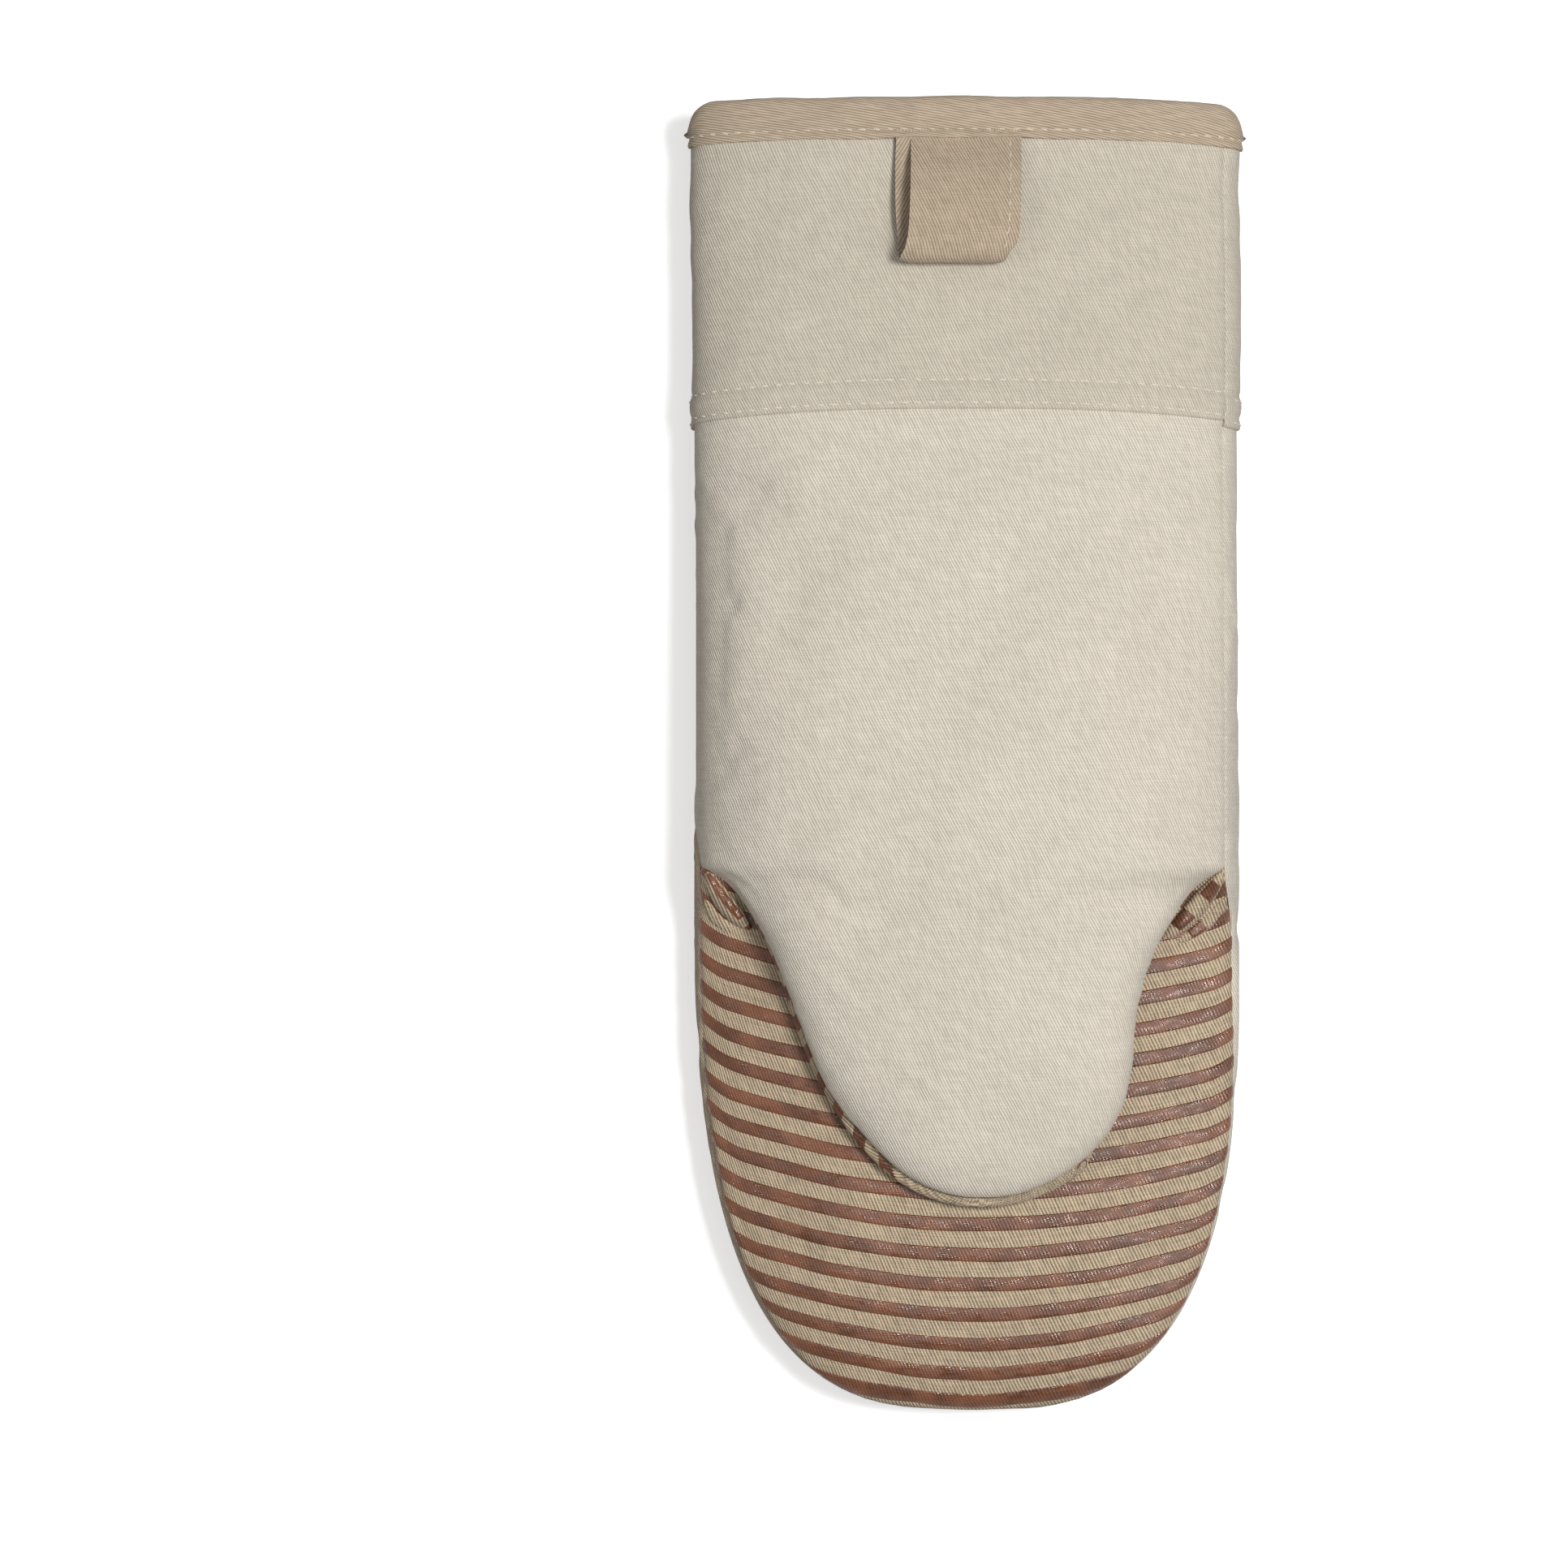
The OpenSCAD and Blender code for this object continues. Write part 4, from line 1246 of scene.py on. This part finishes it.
def loop_line(count):
    """The loop tape's middle line as [x shift, y, z]: down the front leg, round the fold and back up."""
    root_y = pivot("loop_swing")[1]
    fold = low("hanging_loop")[1]
    top = high("hanging_loop")[2]
    base = SEAM_Z + palm_h(np.array(root_y)) + BAND_LIFT
    ground_z = SEAM_Z + palm_h(np.array(fold + 4)) + BAND_LIFT
    mid_z = (top + ground_z) / 2
    points = [
        (-0.6, root_y + 2.4, base + 1.5),
        (-0.6, root_y + 0.4, base + 1.55),
        (-0.6, root_y - 2.6, base + 3.0),
        (-0.7, root_y - 8, base + 6.2),
        (-0.9, root_y - 15, top - 1.1),
        (-1.3, fold + 9, top - 0.1),
        (-2.0, fold + 4, top - 0.1),
        (-2.5, fold + 1.2, top - 1.5),
        (-2.8, fold + 0.2, mid_z + 0.4),
        (-3.1, fold + 1.0, ground_z + 2.6),
        (-3.6, fold + 4.0, ground_z + 1.3),
        (-4.4, fold + 14, ground_z + 1.0),
        (-4.5, root_y - 6, base + 0.95),
        (-4.3, root_y - 1, base + 0.8),
        (-4.2, root_y + 2.4, base + 0.75),
    ]
    return catmull(points, count)


def loop_grid():
    """The loop tape's outer face, and its places on the flat tape."""
    line = loop_line(150)
    across = np.linspace(0.5, -0.5, 41)
    p = np.repeat(line[:, None, :], 41, 1)
    p[..., 0] += across * LOOP_W
    at_fold = np.exp(-(((line[:, 1] - line[:, 1].min()) / 3.0) ** 2))[:, None]
    corner = np.clip((np.abs(2 * across) - 0.8) / 0.2, 0, 1) ** 2 * np.where(across > 0, 1.0, 0.3)
    p[..., 1] += at_fold * (1.4 * corner + 0.5 * (2 * across) ** 2)
    p[..., 0] -= at_fold * (1.0 * corner + 0.5)
    coords = np.stack([np.repeat(across[None, :] * LOOP_W, 150, 0), -arc(p, 0), 0 * p[..., 0]], -1)
    n = normals(p)
    return p + n * (0.08 * ripple(p[..., 0], p[..., 1], 12, 41))[..., None], coords


def hanging_loop():
    p, coords = loop_grid()
    sew("loop_tape", p, LOOP_T, TAN, "loop", "tan_twill", ["hanging_loop"],
        "folded", ["cuff_band_top"], coords=coords)


def loop_stitches():
    """A row of stitches beside the loop's +X edge, down its front leg."""
    p, _ = loop_grid()
    n = normals(p)
    rows = slice(8, 70)
    piece = stitches("loop_stitches", [(p[rows, 4], n[rows, 4])], 2.1, 0.17, [THREAD_TAN, TAN_HOLE_SHADE], 56, 0.3)
    place(piece, "loop", "thread", "loop_edge_stitch")


def label():
    """A plain grey satin label, held by its top edge under the hem of the back."""
    lo, hi = low("woven_label"), high("woven_label")
    y = np.linspace(hi[1] + 2, lo[1] + 0.6, 40)
    x = np.linspace(lo[0] + 1.0, hi[0] - 0.5, 80)
    xx, yy = np.meshgrid(x, y)
    off = 0.15 + 0.25 * smooth((hi[1] - yy) / 10)
    z = under_z(xx, yy) - off
    tilt = 1.0 * (xx - lo[0]) / (hi[0] - lo[0])
    p = np.stack([xx, yy - tilt * 0.6, np.maximum(z, 0.12)], -1)
    coords = np.stack([-xx, yy, 0 * xx], -1)
    sew("satin_label", p, 0.3, SATIN, "label", "label_satin", ["woven_label"],
        "hung", ["cuff_band_under"], coords=coords)


# ------------------------------------------------------------------ inside: wadding and linings
def inner_layers():
    """Closed tubes inside the covers of the body and the thumb: the wadding, and the lining inside it."""
    body = (body_tube, np.linspace(CUFF_Y - 4, TIP_Y + 6, 110), "hand_to_fingertips",
            ["palm", "back", "finger", "fingertip_back", "fingertip_grip"])
    thumb = (thumb_tube, np.linspace(MOUTH_Y + 3, THUMB_TIP_Y + 7, 60), "hand_to_thumb",
             ["thumb", "thumb_grip"])
    wadding_layer = ("batting", TWILL_T + WADDING_SLACK, WADDING_T - WADDING_SLACK, WADDING)
    lining_layer = ("lining", TWILL_T + WADDING_T + 0.1, LINING_T, LINING)
    for name, (tube, y, where, parts), (slot, depth, thickness, material) in (
        ("body_wadding", body, wadding_layer),
        ("body_lining", body, lining_layer),
        ("thumb_wadding", thumb, wadding_layer),
        ("thumb_pocket_lining", thumb, lining_layer),
    ):
        outer, inner = tube(y, depth, 96), tube(y, depth + thickness, 96)
        coords = np.stack([arc(outer, 1), outer[..., 1], 0 * outer[..., 0]], -1)
        points = np.concatenate([outer.reshape(-1, 3), inner.reshape(-1, 3)])
        faces = shell_faces(*outer.shape[:2], wrap=True)
        piece = make_mesh(name, points, faces, np.concatenate([coords.reshape(-1, 3)] * 2), [material])
        place(piece, where, slot, *[f"{part}_{slot}" for part in parts])


# ------------------------------------------------------------------ floor, lights and camera
def floor():
    bpy.ops.mesh.primitive_plane_add(size=6, location=(0, 0, -0.0003))
    plane = bpy.context.object
    plane.name = "floor"
    plane.data.materials.append(ground("pale_floor"))
    plane.visible_diffuse = False


def area_light(name, place_at, size, power, glossy_only=False):
    """A lamp that points at the mitt. A glossy-only one adds reflections and no diffuse light."""
    data = bpy.data.lights.new(name, "AREA")
    data.shape = "RECTANGLE"
    data.size, data.size_y = size
    data.energy = power
    lamp = bpy.data.objects.new(name, data)
    lamp.location = place_at
    lamp.rotation_euler = (Vector((0, 0, 0.02)) - Vector(place_at)).to_track_quat("-Z", "Y").to_euler()
    lamp.visible_diffuse = not glossy_only
    bpy.context.scene.collection.objects.link(lamp)


def lighting():
    world = bpy.data.worlds.new("studio")
    world.use_nodes = True
    world.node_tree.nodes["Background"].inputs["Color"].default_value = (1, 1, 1, 1)
    world.node_tree.nodes["Background"].inputs["Strength"].default_value = 0.235
    bpy.context.scene.world = world
    area_light("key", (0.6, 0.15, 1.5), (0.4, 0.4), 21)
    area_light("top", (0.0, -0.1, 1.9), (1.4, 1.4), 3)
    area_light("left", (-1.1, 0.0, 1.2), (1.0, 1.0), 3.2)
    area_light("glint_right", (0.95, -0.35, 1.2), (0.10, 1.2), 30, glossy_only=True)
    area_light("glint_left", (-0.42, -0.1, 1.4), (0.07, 0.35), 4, glossy_only=True)
    bpy.context.scene.view_settings.view_transform = "Standard"


def camera():
    """Straight from above, with the mitt right of the middle."""
    data = bpy.data.cameras.new("camera")
    data.sensor_width = 36
    data.lens = 135
    eye = bpy.data.objects.new("camera", data)
    eye.location = (-0.0461, -0.0069, 1.5)
    bpy.context.scene.collection.objects.link(eye)
    bpy.context.scene.camera = eye


palm_cover()
finger_cover()
finger_stripes()
thumb_facing()
facing_stripes()
corner_folds()
ACCENT_GRID, BACK_GRID = back_covers()
accent_stitches(ACCENT_GRID, BACK_GRID)
BAND_GRID = cuff_bands()
side_seam_stitches(BAND_GRID, BACK_GRID)
binding()
hanging_loop()
label()
loop_stitches()
inner_layers()
floor()
lighting()
camera()
